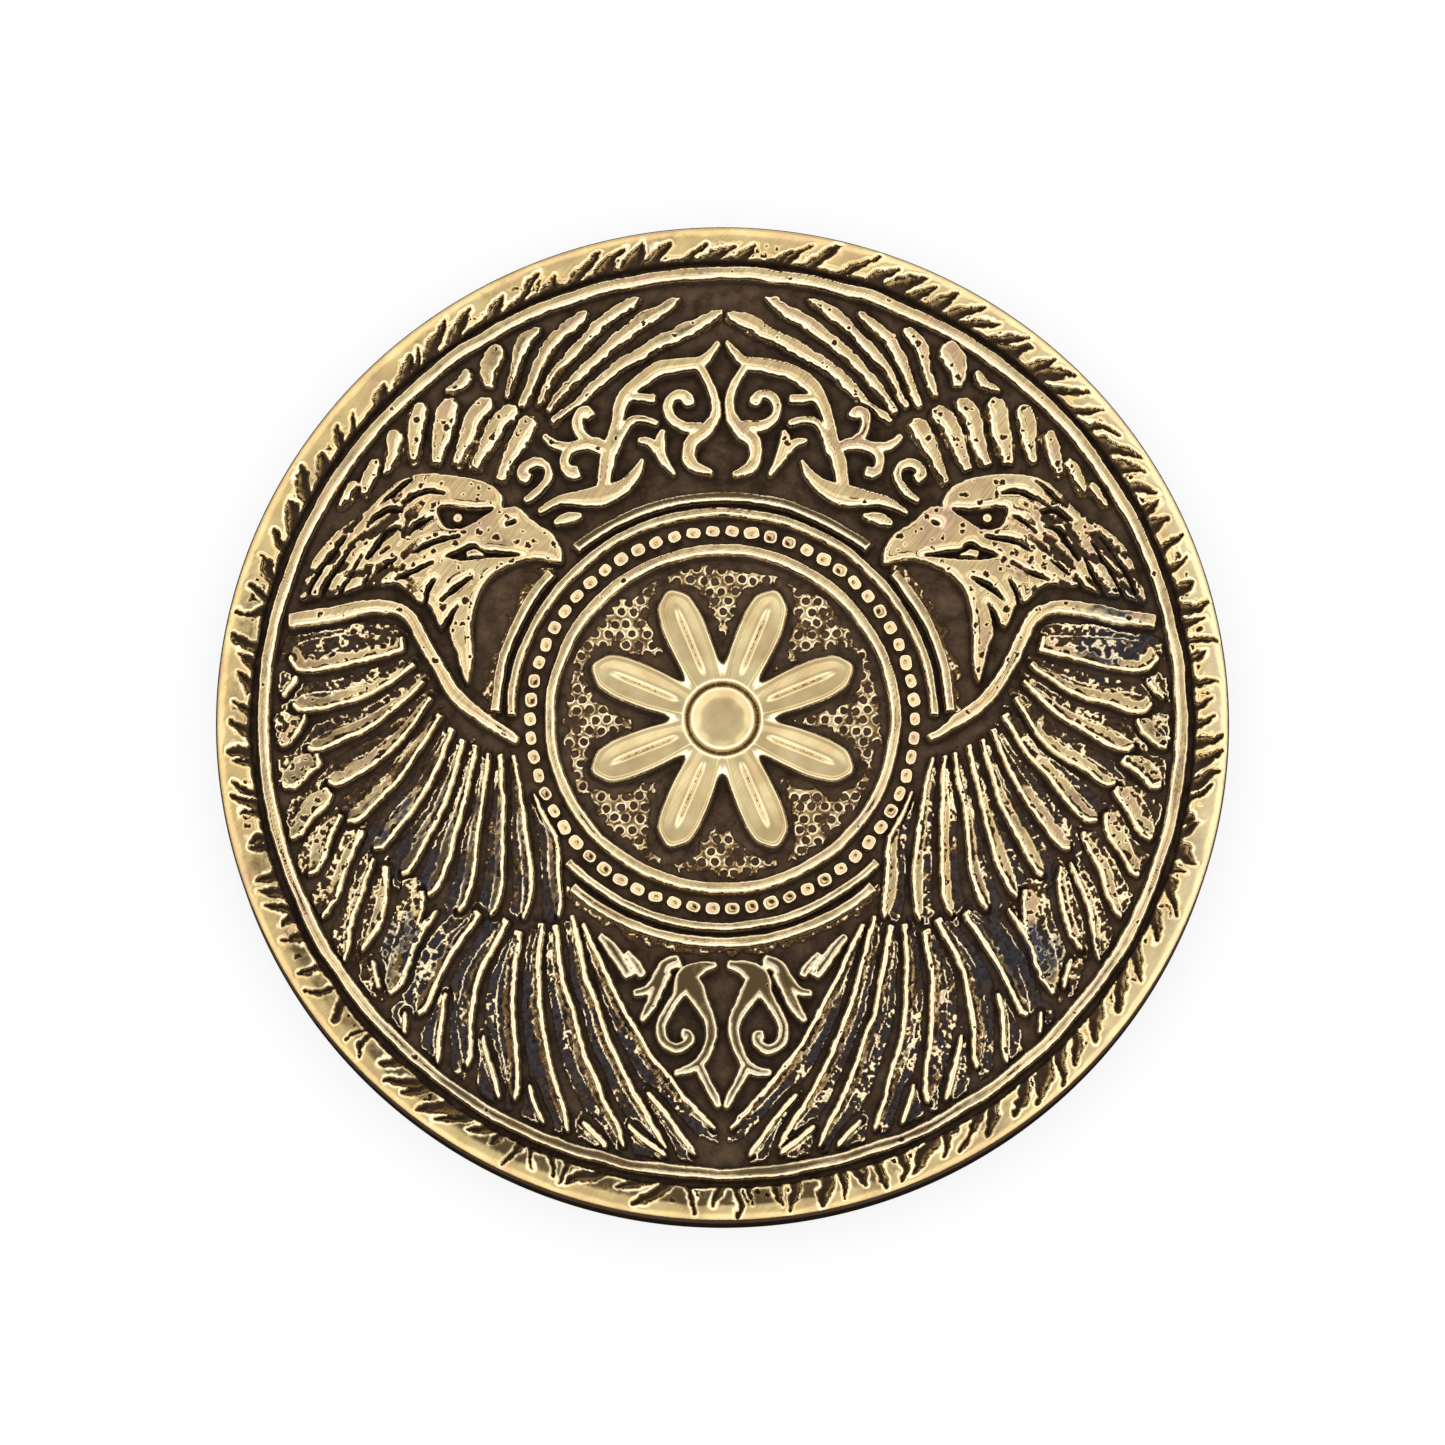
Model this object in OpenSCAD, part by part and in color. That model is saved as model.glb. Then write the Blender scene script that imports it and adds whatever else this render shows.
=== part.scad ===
// Challenge coin: an antiqued brass coin with two eagles, their wings, scrolls and a beaded centre.
// The coin lies on its reverse, face up. The origin is the middle of the reverse, +Z is up
// and the top of the design points along +Y.

/* [Blank] */
// Diameter over the edge of the coin
coin_d = 44.5; // [42:0.5:52]
// Thickness of the blank, from the reverse to the floor of the relief
blank_t = 1.9; // [1.4:0.1:3]
// Rounding of the blank's lower edge
edge_round = 0.4; // [0.2:0.05:0.8]

/* [Rim] */
// Radial width of the notched rim band
rim_w = 1.5; // [1.4:0.1:2.2]
// Height of the rim band over the floor
rim_h = 0.9; // [0.7:0.05:1.3]
// Rounding of the rim band's outer shoulder
rim_round = 0.35; // [0.15:0.05:0.5]
// Pitch of the notches along the rim's inner edge
notch_pitch = 0.88; // [0.8:0.02:1.6]
// Mean depth of a notch from the rim's inner edge
notch_l = 0.9; // [0.4:0.05:1]
// Width of a notch at the rim's inner edge
notch_w = 0.34; // [0.24:0.02:0.6]

/* [Border ring] */
// Groove between the rim band and the border ring
border_gap = 0.35; // [0.2:0.05:0.8]
// Width of the border ring
border_w = 0.5; // [0.3:0.05:0.8]
// Height of the border ring over the floor
border_h = 0.65; // [0.5:0.05:1]

/* [Beaded centre] */
// Inner radius of the ring round the centre field
inner_ring_r = 7.35; // [6.4:0.05:8]
// Width of that ring
inner_ring_w = 0.45; // [0.3:0.05:0.7]
// Diameter of a bead
bead_d = 0.58; // [0.4:0.02:0.7]
// Pitch of the beads along their circle
bead_pitch = 0.855; // [0.8:0.005:1.2]
// Clear space between the beads and the ring on either side
bead_gap = 0.36; // [0.2:0.02:0.5]
// Height of the beads over the floor
bead_h = 0.55; // [0.4:0.05:0.9]
// Width of the ring outside the beads
outer_ring_w = 0.35; // [0.25:0.05:0.5]
// Clear space between that ring and the outer arcs
arc_gap = 0.32; // [0.2:0.02:0.5]
// Width of the outer arcs
arc_w = 0.42; // [0.3:0.02:0.6]
// Height of the rings and arcs over the floor
ring_h = 0.65; // [0.5:0.05:1]

/* [Rosette] */
// Number of petals
petal_count = 8; // [5:1:9]
// Greatest width of a petal
petal_w = 1.9; // [1.2:0.1:2.4]
// Clear space between the petal tips and the inner ring
petal_gap = 1.1; // [0.5:0.1:2]
// Diameter of the rosette's boss
boss_d = 3; // [2:0.1:4]
// Height of the rosette over the floor
rosette_h = 0.85; // [0.6:0.05:1.2]

/* [Relief] */
// Height of the feathers over the floor
feather_h = 0.6; // [0.4:0.05:1]
// Height of the scrolls over the floor
scroll_h = 0.65; // [0.4:0.05:1]
// Height of the wing bows over the floor
bow_h = 0.7; // [0.4:0.05:1]
// Height of the eagle heads over the floor
head_h = 0.75; // [0.4:0.05:1.1]
// Diameter of an eye
eye_d = 0.66; // [0.4:0.02:0.74]
// Height of the eyes over the floor
eye_h = 0.6; // [0.45:0.05:0.9]
// Clear space kept between neighbouring pieces of relief
relief_gap = 0.14; // [0.08:0.02:0.24]
// Smallest rounding of the relief's corners in plan
corner_r = 0.05; // [0.03:0.01:0.08]

/* [Hidden] */

circle_fn = 180;
corner_fn = 8;
curve_steps = 4;

coin_r = coin_d / 2;
rim_in_r = coin_r - rim_w;
border_r = rim_in_r - border_gap - border_w;

// Circles of the beaded centre, from the inside out
bead_r = inner_ring_r + inner_ring_w + bead_gap + bead_d / 2;
bead_count = floor(2 * PI * bead_r / bead_pitch);
outer_ring_r = bead_r + bead_d / 2 + bead_gap;
arc_r = outer_ring_r + outer_ring_w + arc_gap;

// Angles at which the outer ring and the arcs begin and end, so that wings and beaks pass between them
outer_ring_top = [1, 179];
outer_ring_foot = [-136.5, -43.5];
top_arc_span = [50, 130];
bottom_arc_span = [-131, -49];
side_arc_span = [2, 41];

notch_count = floor(2 * PI * rim_in_r / notch_pitch);
notch_tip_share = 0.55;
notch_wobble = 0.25;
notch_slant = 0.55;
notch_stray = 0.3;

// Share of a feather's length at which it is widest, and its width at root and tip as a share of that
covert_peak = 0.74;
flight_peak = 0.5;
petal_peak = 0.68;
blade_root = 0.38;
blade_tip = 0.1;

// The relief is drawn for the right half of a field of this radius, and scaled to the real field
drawing_r = 19.9;
drawing_k = border_r / drawing_r;

// A feather: its half width, then points from its root to its tip
UPPER_FEATHERS = [
    [0.31, [7.5, 13.35], [5.9, 14.75], [4.3, 16.1], [1.9, 17.45], [-0.05, 18.35]],
    [0.27, [7.75, 13.8], [7.1, 14.75], [5.1, 16.8], [3.6, 18], [1.85, 19.05]],
    [0.25, [8.2, 14.05], [7.4, 15.6], [6.2, 17.1], [5.2, 18.15], [3.65, 19.05]],
    [0.26, [8.8, 14.05], [8.2, 15.5], [7.4, 17.2], [6, 18.45]],
    [0.27, [9.45, 14.5], [9.1, 15.8], [8.75, 16.9], [8.05, 17.7]],
    [0.47, [10.35, 15], [10.35, 15.7], [10.1, 16.4], [9.75, 16.85]],
    [0.24, [12.3, 14.8], [11.5, 15.15], [11.15, 15.8]]
];
CROWN_COVERTS = [
    [0.37, [9.85, 10.7], [9.35, 11.9], [8.85, 12.9], [8.4, 13.55]],
    [0.37, [10.85, 11.25], [10.4, 12.3], [9.9, 13.4], [9.15, 13.95]],
    [0.39, [11.7, 11.4], [11.35, 12.4], [11, 13.6], [10.3, 14.45]],
    [0.42, [12.55, 11.55], [12.4, 12.5], [12.2, 13.6], [11.85, 14.5]],
    [0.38, [13.7, 11.6], [13.55, 12.5], [13.45, 13.4], [13.1, 14.2]],
    [0.31, [14.9, 11.1], [14.7, 11.8], [14.5, 12.5], [14.3, 12.95]],
    [0.26, [15.9, 10.15], [15.7, 10.8], [15.3, 11.75]],
    [0.2, [16.9, 9.55], [16.45, 10.2], [16.15, 10.7]]
];
LOWER_COVERTS = [
    [0.78, [13.95, 3.4], [15.6, 3.25], [17.4, 2.95], [19.1, 2.65]],
    [0.44, [13.6, 2.55], [15.4, 1.5], [17.4, 0.85], [18.9, 0.6]],
    [0.38, [13.2, 1.75], [15.1, 0.2], [16.9, -0.75], [18.15, -1.3]],
    [0.4, [12.85, 1], [14.4, -0.95], [16.2, -2.2], [17.25, -2.9]],
    [0.4, [12.35, 0.2], [13.9, -1.9], [15.4, -3.55], [16.4, -4.6]],
    [0.37, [11.85, -0.45], [13.05, -2.85], [14.3, -4.6], [15.2, -5.85]],
    [0.32, [11.35, -0.9], [12.3, -3.6], [13.3, -5.6], [13.95, -7]],
    [0.3, [10.8, -1.15], [11.55, -4], [12.25, -6.3], [12.8, -7.95]],
    [0.28, [10.2, -1.45], [10.75, -4.3], [11.1, -6.8], [11.55, -8.55]],
    [0.26, [9.75, -1.6], [9.75, -4.2], [9.75, -6.9], [10.05, -8.75]],
    [0.26, [9.2, -1.65], [8.85, -4.2], [8.5, -6.7], [8.65, -9]],
    [0.29, [8.7, -1.7], [8.05, -3.6], [7.45, -5.2], [7.35, -7.2], [7.1, -8.8]]
];
OUTER_COVERTS = [
    [0.16, [18.75, 1.85], [19.05, 1.5], [19.45, 0.9]],
    [0.42, [18.2, 0.1], [18.9, -0.45], [19.45, -1.35]],
    [0.52, [17.6, -1.75], [18.5, -2.2], [19.2, -3.1]],
    [0.48, [17.2, -3.15], [18.1, -3.9], [18.8, -5.4]],
    [0.4, [16.8, -4.2], [17.5, -5.5], [18.15, -7]],
    [0.3, [15.9, -5.05], [16.8, -7], [17.4, -8.85]],
    [0.21, [15.2, -6.3], [16.1, -8.2], [16.5, -10.8]],
    [0.27, [14.75, -6.6], [15.05, -8.5], [15.7, -10.3]],
    [0.58, [13.35, -7.6], [13.75, -9.4], [14.45, -12.2]],
    [0.16, [12.4, -8.45], [13.3, -9.8], [14.2, -11.6]],
    [0.14, [15.25, -10.7], [15.1, -11.3], [14.9, -12]]
];
FLIGHT_FEATHERS = [
    [0.45, [10.6, -8.6], [12, -10.2], [12.85, -11.8], [13.3, -13.25]],
    [0.4, [9.35, -8.9], [10.7, -11], [11.2, -13.3], [11.1, -15.45]],
    [0.42, [8.85, -9.4], [9.45, -11.8], [9.3, -14.5], [9, -16.95]],
    [0.34, [7.95, -9.1], [8.2, -12], [7.85, -14.8], [6.65, -18.3]],
    [0.32, [7.35, -9.2], [7, -12.1], [6.1, -15.2], [4.2, -19]],
    [0.27, [6.6, -8.8], [6, -11.7], [4.6, -15.5], [2.4, -19.1]],
    [0.29, [6.1, -9.15], [4.9, -12.1], [3.1, -15.3], [0.3, -18.2]],
    [0.2, [3.25, -16.6], [2.2, -18], [1.15, -19.4]],
    [0.18, [4.1, -18], [3.4, -18.7], [2.45, -19.35]],
    [0.17, [6.05, -17.8], [5.6, -18.4], [5, -19]],
    [0.16, [8.4, -16.2], [8.2, -17.1], [7.8, -18]],
    [0.16, [10.4, -14], [10.2, -15.4], [9.7, -16.9]],
    [0.2, [12.05, -12.2], [12.35, -13.5], [12.4, -15.3]],
    [0.12, [13.95, -13], [13.9, -13.5], [13.8, -14]]
];

// A stroke: points along its middle, each with the half width there
WING_BOW = [
    [19.05, 4.35, 0.3], [17.5, 4.55, 0.31], [16, 4.9, 0.3], [14.9, 5.05, 0.3], [14.05, 4.8, 0.29],
    [13.4, 4.1, 0.28], [12.6, 2.5, 0.29], [11.9, 1.3, 0.3], [11, 0.35, 0.29], [10, -0.35, 0.25],
    [9, -0.95, 0.16]
];
TOP_SCROLL = [
    [[0.15, 17, 0.06], [0.5, 16.5, 0.14], [1, 16.05, 0.22], [1.9, 15.92, 0.28], [2.9, 15.7, 0.28],
     [3.8, 15.1, 0.28], [4.4, 14.35, 0.26], [4.65, 13.4, 0.22], [4.85, 12.5, 0.25], [5.1, 11.5, 0.28],
     [5.3, 10.3, 0.26]],
    [[1, 15.9, 0.16], [0.6, 15.2, 0.16], [0.3, 14.4, 0.18], [0.35, 13.6, 0.2], [0.8, 12.95, 0.27],
     [1.35, 12.45, 0.26], [1.45, 11.8, 0.26], [1.15, 11.3, 0.2], [0.45, 11, 0.06]],
    [[0.85, 13.1, 0.2], [1.7, 13.15, 0.19], [2.25, 13.5, 0.18], [2.42, 14.05, 0.16], [2.2, 14.5, 0.15],
     [1.75, 14.6, 0.16], [1.5, 14.35, 0.22], [1.42, 14.15, 0.16]],
    [[4.3, 14.5, 0.14], [3.6, 14.42, 0.15], [3, 14.42, 0.12]],
    [[2.9, 13.25, 0.1], [3.5, 13.44, 0.1], [4.1, 13.35, 0.12], [4.5, 12.7, 0.14], [4.8, 12, 0.16]],
    [[3.55, 11.65, 0.07], [3.85, 10.95, 0.2], [4.4, 10.4, 0.29], [5.2, 10.1, 0.4], [6.2, 9.9, 0.32],
     [7.2, 9.75, 0.17], [8.1, 9.25, 0.06]],
    [[5, 12.1, 0.2], [5.7, 12.35, 0.23], [6.3, 12.3, 0.22], [6.8, 11.95, 0.18], [6.95, 11.45, 0.17],
     [6.72, 11.05, 0.2], [6.35, 11.1, 0.18]],
    [[6.4, 12.25, 0.16], [7.1, 12.22, 0.16], [7.55, 12.4, 0.16], [7.85, 12.7, 0.1]],
    [[5.8, 12.4, 0.2], [6.2, 12.8, 0.19], [6.35, 13.3, 0.19], [6.25, 13.75, 0.18], [5.95, 13.88, 0.17],
     [5.76, 13.62, 0.18]],
    [[8.65, 9.75, 0.07], [8.1, 10.2, 0.12], [7.72, 10.8, 0.14], [7.82, 11.3, 0.15], [8.3, 11.5, 0.16],
     [8.72, 11.3, 0.18], [8.78, 10.95, 0.2], [8.55, 10.75, 0.18]],
    [[6.2, 9.05, 0.06], [6.75, 8.97, 0.19], [7.1, 8.87, 0.17], [7.4, 8.75, 0.06]],
    [[2.65, 12.9, 0.07], [2.75, 12.4, 0.22], [2.65, 11.8, 0.2], [2.1, 10.95, 0.06]],
    [[3.7, 12.5, 0.06], [3.2, 12.4, 0.14], [2.85, 12.1, 0.2]]
];
BOTTOM_SCROLL = [
    [[0.3, -10.95, 0.06], [1.1, -11.15, 0.14], [1.7, -11.6, 0.2], [1.95, -12.3, 0.16], [2.35, -13, 0.15],
     [2.65, -13.7, 0.16], [2.5, -14.35, 0.17], [2, -14.65, 0.15], [1.57, -14.4, 0.14],
     [1.5, -14.05, 0.15], [1.75, -14, 0.17]],
    [[1.6, -11.6, 0.18], [1.15, -12.3, 0.28], [0.65, -13.1, 0.25], [0.5, -13.8, 0.2], [0.65, -14.6, 0.18],
     [1, -15.3, 0.18], [1.5, -15.6, 0.14], [2.05, -15.7, 0.08]],
    [[1, -15.4, 0.15], [0.7, -16.1, 0.15], [0.4, -16.7, 0.14], [0.2, -17.2, 0.06]],
    [[1.95, -10.75, 0.1], [2.5, -11, 0.2], [2.85, -11.6, 0.2], [3.3, -12.05, 0.14], [3.85, -12.2, 0.1]],
    [[2.6, -11.3, 0.2], [2.85, -12, 0.21], [3.1, -12.75, 0.17], [3.5, -13.4, 0.06]],
    [[5.3, -9.75, 0.08], [4.9, -10.2, 0.18], [4.4, -10.9, 0.2], [4.1, -11.4, 0.16]],
    [[4.15, -10.5, 0.08], [3.75, -11, 0.14], [3.55, -11.4, 0.1]]
];

// The head in plan: beak, crown, nape tufts and throat
HEAD_OUTLINE = [
    [7.12, 6.95], [7.06, 7.5], [7.45, 8.2], [8.3, 8.75], [8.75, 9.2], [9.15, 9.45], [9.62, 9.42],
    [9.65, 9.8], [9.9, 10.2], [10.6, 10.62], [11.6, 10.88], [12.6, 10.95], [13.5, 10.9], [14.3, 10.62],
    [15, 10], [15.7, 9.3], [16.3, 8.9], [17, 8.4], [17.6, 7.7], [18.1, 6.7], [18.6, 5.35], [18, 5.4],
    [17.4, 5.5], [16.6, 5.6], [15.8, 5.95], [15, 6], [14.2, 6], [13.45, 5.25], [12.9, 5], [12.45, 4.05],
    [12.05, 4.2], [11.7, 3], [11.25, 1.55], [10.98, 2.6], [10.95, 4.2], [10.7, 5.5], [10.2, 6.3],
    [9.5, 6.8], [8.6, 7.12], [7.9, 7.15]
];
EYE_SOCKET = [
    [10.1, 9.32], [10.8, 9.36], [11.7, 9.52], [12.5, 9.52], [12.45, 9], [12.1, 8.55], [11.5, 8.5],
    [10.8, 8.8]
];
MOUTH = [
    [8.7, 7.3], [9.6, 7.5], [10.4, 7.55], [10.9, 7.85], [11.5, 7.6], [12.2, 7.25], [11.3, 7.08],
    [10, 7.15]
];
EYE_AT = [11.68, 9.02];
NOSTRIL = [[9.12, 8.78, 0.06], [9.32, 8.7, 0.11], [9.52, 8.64, 0.06]];
TONGUE = [[11.3, 7.3, 0.16], [10.9, 7.4, 0.16], [10.45, 7.3, 0.06]];
// Grooves between the plumes of the head
HEAD_GROOVES = [
    [[12.3, 10.08, 0.05], [13, 10.16, 0.11], [13.6, 9.95, 0.1], [14.1, 9.65, 0.05]],
    [[13.75, 10.7, 0.05], [14.4, 10.15, 0.1], [15.1, 9.5, 0.05]],
    [[14.05, 9.25, 0.07], [14.7, 9.3, 0.16], [15.35, 8.9, 0.06]],
    [[12.75, 9.05, 0.06], [13.3, 8.8, 0.13], [13.8, 8.25, 0.06]],
    [[11.6, 8.15, 0.06], [12.3, 8, 0.14], [13.05, 7.8, 0.13], [13.6, 7.45, 0.05]],
    [[14.1, 8.55, 0.06], [14.8, 8.4, 0.15], [15.2, 7.7, 0.14], [15.7, 7.1, 0.05]],
    [[14.3, 7.15, 0.05], [14.8, 6.85, 0.12], [15.3, 6.45, 0.05]],
    [[12.7, 6.95, 0.05], [13.6, 6.5, 0.1], [14.35, 6.2, 0.05]],
    [[15.9, 7.3, 0.05], [16.35, 6.4, 0.1], [16.85, 5.45, 0.1]],
    [[16.2, 7.9, 0.05], [17.05, 6.6, 0.12], [17.7, 5.3, 0.12]],
    [[16.6, 8.2, 0.05], [17.4, 7.05, 0.1], [18.2, 5.6, 0.1]],
    [[10.95, 6.3, 0.06], [11.75, 5.8, 0.13], [12.4, 5.2, 0.05]],
    [[11.6, 5.15, 0.05], [11.9, 4.6, 0.12], [12.15, 3.9, 0.12]],
    [[12.6, 6.2, 0.05], [12.95, 5.6, 0.11], [13.1, 4.95, 0.11]],
    [[15.55, 6.5, 0.05], [15.75, 6.1, 0.08], [15.9, 5.7, 0.08]]
];

// Smooth curves through points of two or three values
function mix(a, b, t) = a + (b - a) * t;
function curve_point(a, b, c, d, t) =
    0.5 * (2 * b + (c - a) * t + (2 * a - 5 * b + 4 * c - d) * t ^ 2 + (3 * b - a - 3 * c + d) * t ^ 3);
function open_curve(p) = let (last = len(p) - 1) [
    for (i = [0 : last - 1])
        for (k = [0 : curve_steps - 1])
            curve_point(p[max(i - 1, 0)], p[i], p[i + 1], p[min(i + 2, last)], k / curve_steps),
    p[last]
];
function closed_curve(p) = let (n = len(p)) [
    for (i = [0 : n - 1])
        for (k = [0 : curve_steps - 1])
            curve_point(p[(i + n - 1) % n], p[i], p[(i + 1) % n], p[(i + 2) % n], k / curve_steps)
];
function flat_point(p) = [p[0], p[1]];

// One edge of a stroke, on the left of its middle line for hand = 1 and on the right for hand = -1
function stroke_edge(c, hand) = [
    for (i = [0 : len(c) - 1])
        let (along = flat_point(c[min(i + 1, len(c) - 1)] - c[max(i - 1, 0)]),
             across = [-along.y, along.x] / norm(along))
            flat_point(c[i]) + hand * c[i].z * across
];
function reversed(p) = [for (i = [len(p) - 1 : -1 : 0]) p[i]];

// Share of a feather's width at t along it, which is greatest at peak
function blade(t, peak) =
    t < peak
        ? mix(blade_root, 1, sin(90 * t / peak))
        : mix(blade_tip, 1, sqrt(1 - ((t - peak) / (1 - peak)) ^ 2));
function feather_stroke(f, peak) =
    let (c = open_curve([for (i = [1 : len(f) - 1]) f[i]]), last = len(c) - 1)
        [for (i = [0 : last]) [c[i].x, c[i].y, f[0] * blade(i / last, peak)]];

// A repeatable uneven value from -1 to 1 for the i-th copy in a row
function uneven(i, phase) = sin(i * 137.5 + phase) * cos(i * 71.3 - phase);

module outline_of(c) {
    polygon(concat(stroke_edge(c, 1), reversed(stroke_edge(c, -1))));
}

module strokes(list) {
    for (s = list) outline_of(open_curve(s));
}

module feathers(list, peak) {
    for (f = list) outline_of(feather_stroke(f, peak));
}

module drawing() {
    scale(drawing_k) children();
}

// Room that a piece needs round it
module with_gap() {
    offset(delta = relief_gap) children();
}

// Plan outlines with their sharpest corners eased
module eased() {
    offset(r = corner_r, $fn = corner_fn) offset(delta = -corner_r) children();
}

module on_floor(h) {
    translate([0, 0, blank_t]) linear_extrude(h) children();
}

module on_side(side) {
    mirror([side == "left" ? 1 : 0, 0, 0]) children();
}

module disc(r) {
    circle(r, $fn = circle_fn);
}

module ring_plan(r, w) {
    difference() {
        disc(r + w);
        disc(r);
    }
}

// The part of a ring between two angles under half a turn apart
module arc_plan(r, w, span) {
    reach = (r + w) * 4;
    middle = (span[0] + span[1]) / 2;
    intersection() {
        ring_plan(r, w);
        polygon([[0, 0], for (a = [span[0], middle, span[1]]) reach * [cos(a), sin(a)]]);
    }
}

// Where relief may stand on the right half: inside the border ring and outside radius r
module field_plan(r) {
    difference() {
        disc(border_r - relief_gap);
        disc(r + relief_gap);
        translate([-coin_d, -coin_d]) square([coin_d + relief_gap / 2, 2 * coin_d]);
    }
}

module wing_bow_plan() {
    intersection() {
        drawing() outline_of(open_curve(WING_BOW));
        field_plan(bead_r + bead_d / 2);
    }
}

// Rings and arcs of the centre give way where the wing bows pass them
module clear_of_bows() {
    difference() {
        children();
        for (side = ["left", "right"]) on_side(side) with_gap() wing_bow_plan();
    }
}

module arcs_plan() {
    clear_of_bows() {
        arc_plan(arc_r, arc_w, top_arc_span);
        arc_plan(arc_r, arc_w, bottom_arc_span);
        arc_plan(arc_r, arc_w, side_arc_span);
    }
}

// Relief of the right half, kept off the arcs
module in_field(r = outer_ring_r + outer_ring_w) {
    difference() {
        intersection() {
            drawing() children();
            field_plan(r);
        }
        with_gap() arcs_plan();
    }
}

module head_plan() {
    in_field() difference() {
        polygon(closed_curve(HEAD_OUTLINE));
        polygon(closed_curve(EYE_SOCKET));
        difference() {
            polygon(closed_curve(MOUTH));
            strokes([TONGUE]);
        }
        strokes([NOSTRIL]);
        strokes(HEAD_GROOVES);
    }
}

module crown_coverts_plan() {
    difference() {
        in_field() feathers(CROWN_COVERTS, covert_peak);
        with_gap() head_plan();
    }
}

module upper_feathers_plan() {
    difference() {
        in_field() feathers(UPPER_FEATHERS, covert_peak);
        with_gap() crown_coverts_plan();
    }
}

module lower_coverts_plan() {
    difference() {
        in_field(bead_r + bead_d / 2) feathers(LOWER_COVERTS, covert_peak);
        with_gap() wing_bow_plan();
    }
}

module outer_coverts_plan() {
    difference() {
        in_field() feathers(OUTER_COVERTS, flight_peak);
        with_gap() lower_coverts_plan();
    }
}

module flight_feathers_plan() {
    difference() {
        in_field() feathers(FLIGHT_FEATHERS, flight_peak);
        with_gap() lower_coverts_plan();
        with_gap() outer_coverts_plan();
    }
}

module top_scroll_plan() {
    difference() {
        in_field() strokes(TOP_SCROLL);
        with_gap() head_plan();
        with_gap() crown_coverts_plan();
    }
}

module bottom_scroll_plan() {
    difference() {
        in_field() strokes(BOTTOM_SCROLL);
        with_gap() flight_feathers_plan();
    }
}

module coin_blank() {
    color("#4a3b2c") rotate_extrude($fn = circle_fn) difference() {
        square([coin_r, blank_t]);
        translate([coin_r - edge_round, 0]) difference() {
            square(edge_round);
            translate([0, edge_round]) disc(edge_round);
        }
    }
}

// Corners of the i-th notch, whose outer end is narrower and leans along the rim
function notch(i) =
    let (at = i * 360 / notch_count,
         depth = notch_l * (1 + notch_wobble * uneven(i, 20)),
         half = notch_w / 2 * (1 + notch_wobble * uneven(i, 75)),
         lean = depth * (notch_slant * sin(at) * sign(cos(at)) + notch_stray * uneven(i, 140)),
         turn = 180 / PI / rim_in_r)
        [for (c = [[-half, 0], [-lean - half * notch_tip_share, depth],
                   [-lean + half * notch_tip_share, depth], [half, 0]])
            (rim_in_r + c[1]) * [cos(at + c[0] * turn), sin(at + c[0] * turn)]];

module rim_band() {
    color("#d9bd7c") translate([0, 0, blank_t]) difference() {
        rotate_extrude($fn = circle_fn) difference() {
            square([coin_r, rim_h]);
            translate([coin_r - rim_round, rim_h - rim_round]) difference() {
                square(rim_round);
                disc(rim_round);
            }
        }
        translate([0, 0, -rim_h]) linear_extrude(3 * rim_h)
            polygon([for (i = [0 : notch_count - 1]) each notch(i)]);
    }
}

module border_ring() {
    color("#d2b67a") on_floor(border_h) ring_plan(border_r, border_w);
}

module eagle_head(side) {
    color("#d6bf8a") on_side(side) on_floor(head_h) eased() head_plan();
}

// A low dome on a short round stem
module dome(d, h) {
    rotate_extrude($fn = circle_fn) {
        square([d / 2, h - d / 2]);
        translate([0, h - d / 2]) intersection() {
            disc(d / 2);
            square(d / 2);
        }
    }
}

module eye(side) {
    color("#c9aa66") on_side(side) translate([EYE_AT.x * drawing_k, EYE_AT.y * drawing_k, blank_t])
        dome(eye_d * drawing_k, eye_h);
}

module wing_bow(side) {
    color("#d6bf8a") on_side(side) on_floor(bow_h) eased() wing_bow_plan();
}

module upper_feathers(side) {
    color("#cdb47c") on_side(side) on_floor(feather_h) eased() upper_feathers_plan();
}

module crown_coverts(side) {
    color("#c7ad74") on_side(side) on_floor(feather_h) eased() crown_coverts_plan();
}

module lower_coverts(side) {
    color("#cdb47c") on_side(side) on_floor(feather_h) eased() lower_coverts_plan();
}

module outer_coverts(side) {
    color("#c7ad74") on_side(side) on_floor(feather_h) eased() outer_coverts_plan();
}

module flight_feathers(side) {
    color("#cdb47c") on_side(side) on_floor(feather_h) eased() flight_feathers_plan();
}

module top_scroll(side) {
    color("#d9c188") on_side(side) on_floor(scroll_h) eased() top_scroll_plan();
}

module bottom_scroll(side) {
    color("#d9c188") on_side(side) on_floor(scroll_h) eased() bottom_scroll_plan();
}

module inner_ring() {
    color("#dcc48c") on_floor(ring_h) ring_plan(inner_ring_r, inner_ring_w);
}

module bead_row() {
    color("#d6bf8a") for (i = [0 : bead_count - 1])
        rotate(i * 360 / bead_count) translate([bead_r, 0, blank_t]) dome(bead_d, bead_h);
}

module outer_ring() {
    color("#d2b67a") on_floor(ring_h) clear_of_bows() {
        arc_plan(outer_ring_r, outer_ring_w, outer_ring_top);
        arc_plan(outer_ring_r, outer_ring_w, outer_ring_foot);
    }
}

module arc(span) {
    color("#cdb47c") on_floor(ring_h) clear_of_bows() arc_plan(arc_r, arc_w, span);
}

module rosette() {
    tip_r = inner_ring_r - petal_gap;
    petal = [petal_w / 2, [boss_d / 4, 0], [tip_r / 2, 0], [tip_r, 0]];
    color("#e3cfa0") on_floor(rosette_h) eased() {
        disc(boss_d / 2);
        for (i = [0 : petal_count - 1])
            rotate(90 + (i + 0.5) * 360 / petal_count) outline_of(feather_stroke(petal, petal_peak));
    }
}

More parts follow.
